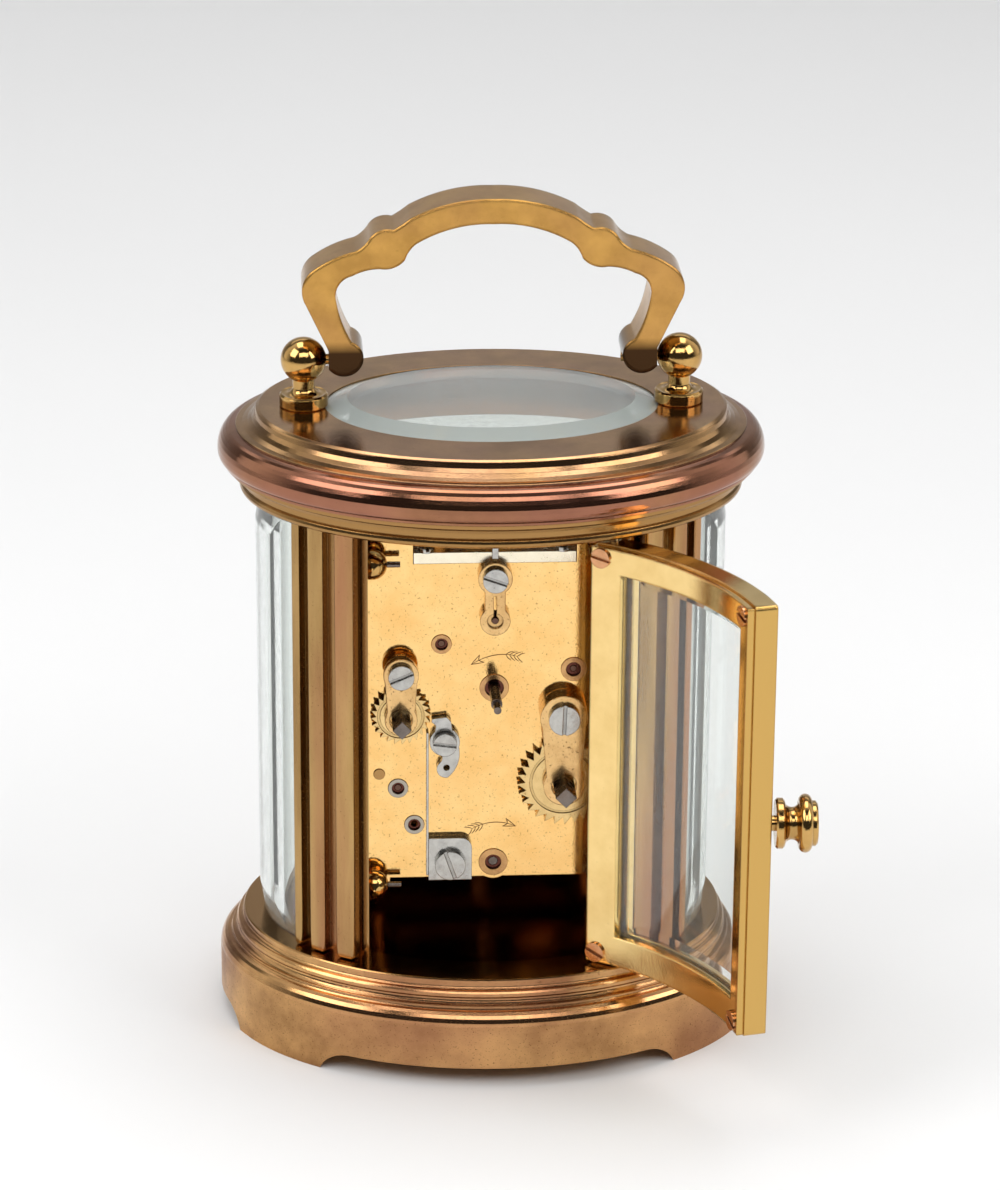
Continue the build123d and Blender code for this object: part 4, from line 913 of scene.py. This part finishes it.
@dataclass
class Engraving:
    """Two curved arrows cut in the back plate, which show how to wind and set, in millimetres, laid
    as flat dark ribbons of painted shadow.
    """

    plate_face: float = 12.0
    lift: float = 0.015
    width: float = 0.16
    taper: float = 0.5
    bends: int = 12
    barb: Pair = (2.0, 0.75)
    barb_bow: Pair = (1.0, 0.37)
    barb_return: Pair = (1.6, 0.3)
    barb_root: float = 1.4
    feathers: int = 4
    feather: Pair = (1.1, 0.8)
    feather_bow: Pair = (0.5, 0.5)
    rise: float = 0.9
    upper: tuple[Pair, Pair] = ((-3.6, 64.7), (3.7, 63.4))
    lower: tuple[Pair, Pair] = ((3.4, 35.0), (-3.6, 35.3))
    # dark of the cut lines: painted shadow of the grooves
    ink: Ink = ENGRAVED_LINE_SHADOW

    def stroke(self, points: list[Pair] | list[Vector]) -> tuple[list[Vector], Faces]:
        """Ribbon of the engraving's width, thin at both ends.

        Args:
            points: the line's X and Z, in millimetres.

        Returns:
            Vertices and faces.
        """
        verts: list[Vector] = []
        faces: Faces = []
        y = self.plate_face + self.lift
        last = len(points) - 1
        for index, (x, z) in enumerate(points):
            before = points[max(index - 1, 0)]
            after = points[min(index + 1, last)]
            along = Vector((after[0] - before[0], after[1] - before[1])).normalized()
            share = 1.0 - self.taper * abs(2 * index / last - 1)
            half = 0.5 * self.width * share
            for way in (-1, 1):
                verts.append(Vector((x - way * half * along.y, y, z + way * half * along.x)) * MM)
            if index:
                a = 2 * index
                faces.append((a - 2, a - 1, a + 1, a))
        return verts, faces

    def arrow(self, name: str, tail: Pair, head: Pair) -> bpy.types.Object:
        """Curved arrow with barbs at its head and feathers at its tail.

        Args:
            name: name of the piece.
            tail: X and Z of its tail.
            head: X and Z of its tip.

        Returns:
            The finished mesh object.
        """
        shaft = []
        for step in range(self.bends + 1):
            share = step / self.bends
            x = tail[0] + (head[0] - tail[0]) * share
            z = tail[1] + (head[1] - tail[1]) * share + 4 * self.rise * share * (1 - share)
            shaft.append((x, z))
        strokes = [shaft]
        along = Vector((head[0] - shaft[-3][0], head[1] - shaft[-3][1])).normalized()
        aside = Vector((-along.y, along.x))
        start = Vector((shaft[2][0] - shaft[0][0], shaft[2][1] - shaft[0][1])).normalized()
        flank = Vector((-start.y, start.x))
        tip = Vector(head)
        for way in (-1, 1):
            barb, bow, inner = (
                tip - back * along + out * way * aside
                for back, out in (self.barb, self.barb_bow, self.barb_return)
            )
            strokes.append([tip, bow, barb])
            strokes.append([barb, inner, tip - self.barb_root * along])
            for place in shaft[:self.feathers]:
                root = Vector(place)
                bow, end = (
                    root - back * start + out * way * flank
                    for back, out in (self.feather_bow, self.feather)
                )
                strokes.append([root, bow, end])
        verts: list[Vector] = []
        faces: Faces = []
        for points in strokes:
            more, sides = self.stroke(points)
            faces += [tuple(corner + len(verts) for corner in side) for side in sides]
            verts += more
        return mesh_piece(name, verts, faces)

    def build(self, workshop: Workshop) -> None:
        """Lay both arrows as ribbons of painted shadow.

        Args:
            workshop: where the painted shadow of the cut lines is made.
        """
        for name, ends in (("arrow_to_left", self.upper), ("arrow_to_right", self.lower)):
            piece = self.arrow(name, *ends)
            piece.data.materials.append(workshop.material(self.ink))
            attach(piece, "case")
            log.info("engraving: %s in %s", piece.name, self.ink.name)


@dataclass(frozen=True)
class Table:
    """Pale paper table that curves up into the backdrop, in metres."""

    colour: Colour = (0.86, 0.86, 0.86)
    shade: float = 0.97
    cloud_scale: float = 5.0
    gloss: float = 0.75
    half_width: float = 2.2
    near_rows: tuple[float, ...] = (1.6, 0.4)
    bend_start: float = -0.9
    bend: float = 0.5
    bend_angles: tuple[float, ...] = (0.2, 0.5, 0.8, 1.1, 1.4, math.pi / 2)
    top: float = 2.4

    def build(self) -> None:
        """Lay the table."""
        rows = [(y, 0.0) for y in (*self.near_rows, self.bend_start)]
        for angle in self.bend_angles:
            y = self.bend_start - self.bend * math.sin(angle)
            rows.append((y, self.bend - self.bend * math.cos(angle)))
        rows.append((self.bend_start - self.bend, self.top))
        verts = [(side * self.half_width, y, z) for y, z in rows for side in (-1, 1)]
        faces = [(a, a + 1, a + 3, a + 2) for a in range(0, 2 * len(rows) - 2, 2)]
        table = mesh_piece("table", verts, faces)
        for side in table.data.polygons:
            side.use_smooth = True
        material, weave, shader = start_material("pale_paper")
        cloud = weave.noise(weave.place(), self.cloud_scale, detail=3.0)
        low = tuple(self.shade * part for part in self.colour)
        weave.feed(shader.inputs["Base Color"], weave.blend(cloud, self.colour, low))
        shader.inputs["Roughness"].default_value = self.gloss
        table.data.materials.append(material)
        log.info("studio: table")


@dataclass(frozen=True)
class SoftBox:
    """One soft lamp: where it hangs, what it faces, its face's width and height, and its watts."""

    name: str
    place: Point
    target: Point
    size: Pair
    power: float

    def build(self) -> None:
        """Hang the lamp."""
        data = bpy.data.lights.new(self.name, "AREA")
        data.shape = "RECTANGLE"
        data.size, data.size_y = self.size
        data.energy = self.power
        lamp = bpy.data.objects.new(self.name, data)
        lamp.location = self.place
        facing = Vector(self.target) - Vector(self.place)
        lamp.rotation_euler = facing.to_track_quat("-Z", "Y").to_euler()
        bpy.context.scene.collection.objects.link(lamp)
        log.info("studio: %s", self.name)


@dataclass(frozen=True)
class Surround:
    """White surround behind the clock and a dim room on the viewer's side."""

    white: float = 0.90
    room: float = 0.05
    room_blue: float = 1.02
    room_edge: float = 0.35
    white_edge: float = -0.25

    def build(self) -> None:
        """Set up the world."""
        world = bpy.data.worlds.new("studio")
        world.use_nodes = True
        bpy.context.scene.world = world
        weave = Weave(world.node_tree)
        background = world.node_tree.nodes["Background"]
        way = weave.add("ShaderNodeTexCoord").outputs["Generated"]
        behind = weave.ramp(weave.part(way, "Y"), self.room_edge, self.white_edge)
        dim = (self.room, self.room, self.room * self.room_blue)
        white = (self.white, self.white, self.white)
        weave.feed(background.inputs["Color"], weave.blend(behind, dim, white))
        background.inputs["Strength"].default_value = 1.0


@dataclass(frozen=True)
class Viewpoint:
    """The photograph's camera: its focal length and sensor in millimetres, its place in metres."""

    focal: float = 138.96
    sensor: float = 36.0
    nearest: float = 0.01
    eye: Point = (0.03999, 0.68518, 0.33698)
    right: Point = (-0.99817, 0.06046, 0.0)
    forward: Point = (-0.0564, -0.9305, -0.3619)
    roll: float = 0.0071

    def build(self) -> None:
        """Set up the camera."""
        forward = Vector(self.forward).normalized()
        side = Vector(self.right).normalized()
        side = (side - forward * side.dot(forward)).normalized()
        upward = side.cross(forward)
        turned = side * math.cos(self.roll) + upward * math.sin(self.roll)
        upward = turned.cross(forward)
        data = bpy.data.cameras.new("camera")
        data.lens = self.focal
        data.sensor_width = self.sensor
        data.sensor_fit = "AUTO"
        data.clip_start = self.nearest
        camera = bpy.data.objects.new("camera", data)
        camera.matrix_world = Matrix((
            (turned.x, upward.x, -forward.x, self.eye[0]),
            (turned.y, upward.y, -forward.y, self.eye[1]),
            (turned.z, upward.z, -forward.z, self.eye[2]),
            (0.0, 0.0, 0.0, 1.0),
        ))
        bpy.context.scene.collection.objects.link(camera)
        bpy.context.scene.camera = camera


@dataclass(frozen=True)
class Studio:
    """Camera, table, surround and soft lamps around the clock."""

    viewpoint: Viewpoint = Viewpoint()
    table: Table = Table()
    surround: Surround = Surround()
    lamps: tuple[SoftBox, ...] = (
        SoftBox("left_soft_box", (0.75, 0.35, 0.75), (0, 0, 0.06), (0.6, 0.6), 4.2),
        SoftBox("right_soft_box", (-0.75, 0.45, 0.70), (0, 0, 0.06), (0.6, 0.6), 4.2),
        SoftBox("overhead_soft_box", (0.0, -0.15, 1.0), (0, 0, 0.05), (0.8, 0.5), 3.6),
        SoftBox("front_soft_box", (0.0, 0.85, 0.85), (0, 0.05, 0.0), (0.9, 0.4), 3.4),
        SoftBox("backdrop_wash", (0.0, -0.85, 0.8), (0, -0.85, 0.0), (1.4, 0.3), 1.4),
    )

    def build(self) -> None:
        """Set up everything around the clock."""
        for item in (self.viewpoint, self.table, self.surround, *self.lamps):
            item.build()
        bpy.context.scene.view_settings.view_transform = "Standard"


def main() -> None:
    """Dress the clock, add the fired and engraved marks, and light it."""
    logging.basicConfig(level=logging.INFO, format="%(name)s %(message)s")
    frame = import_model()
    Studio().build()
    workshop = Workshop()
    for group in (CASE, BACK_DOOR, MOVEMENT, DIAL_SIDE):
        group.dress(frame, workshop)
    DialMarks().build(workshop)
    Engraving().build(workshop)
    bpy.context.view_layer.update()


if __name__ == "__main__":
    main()
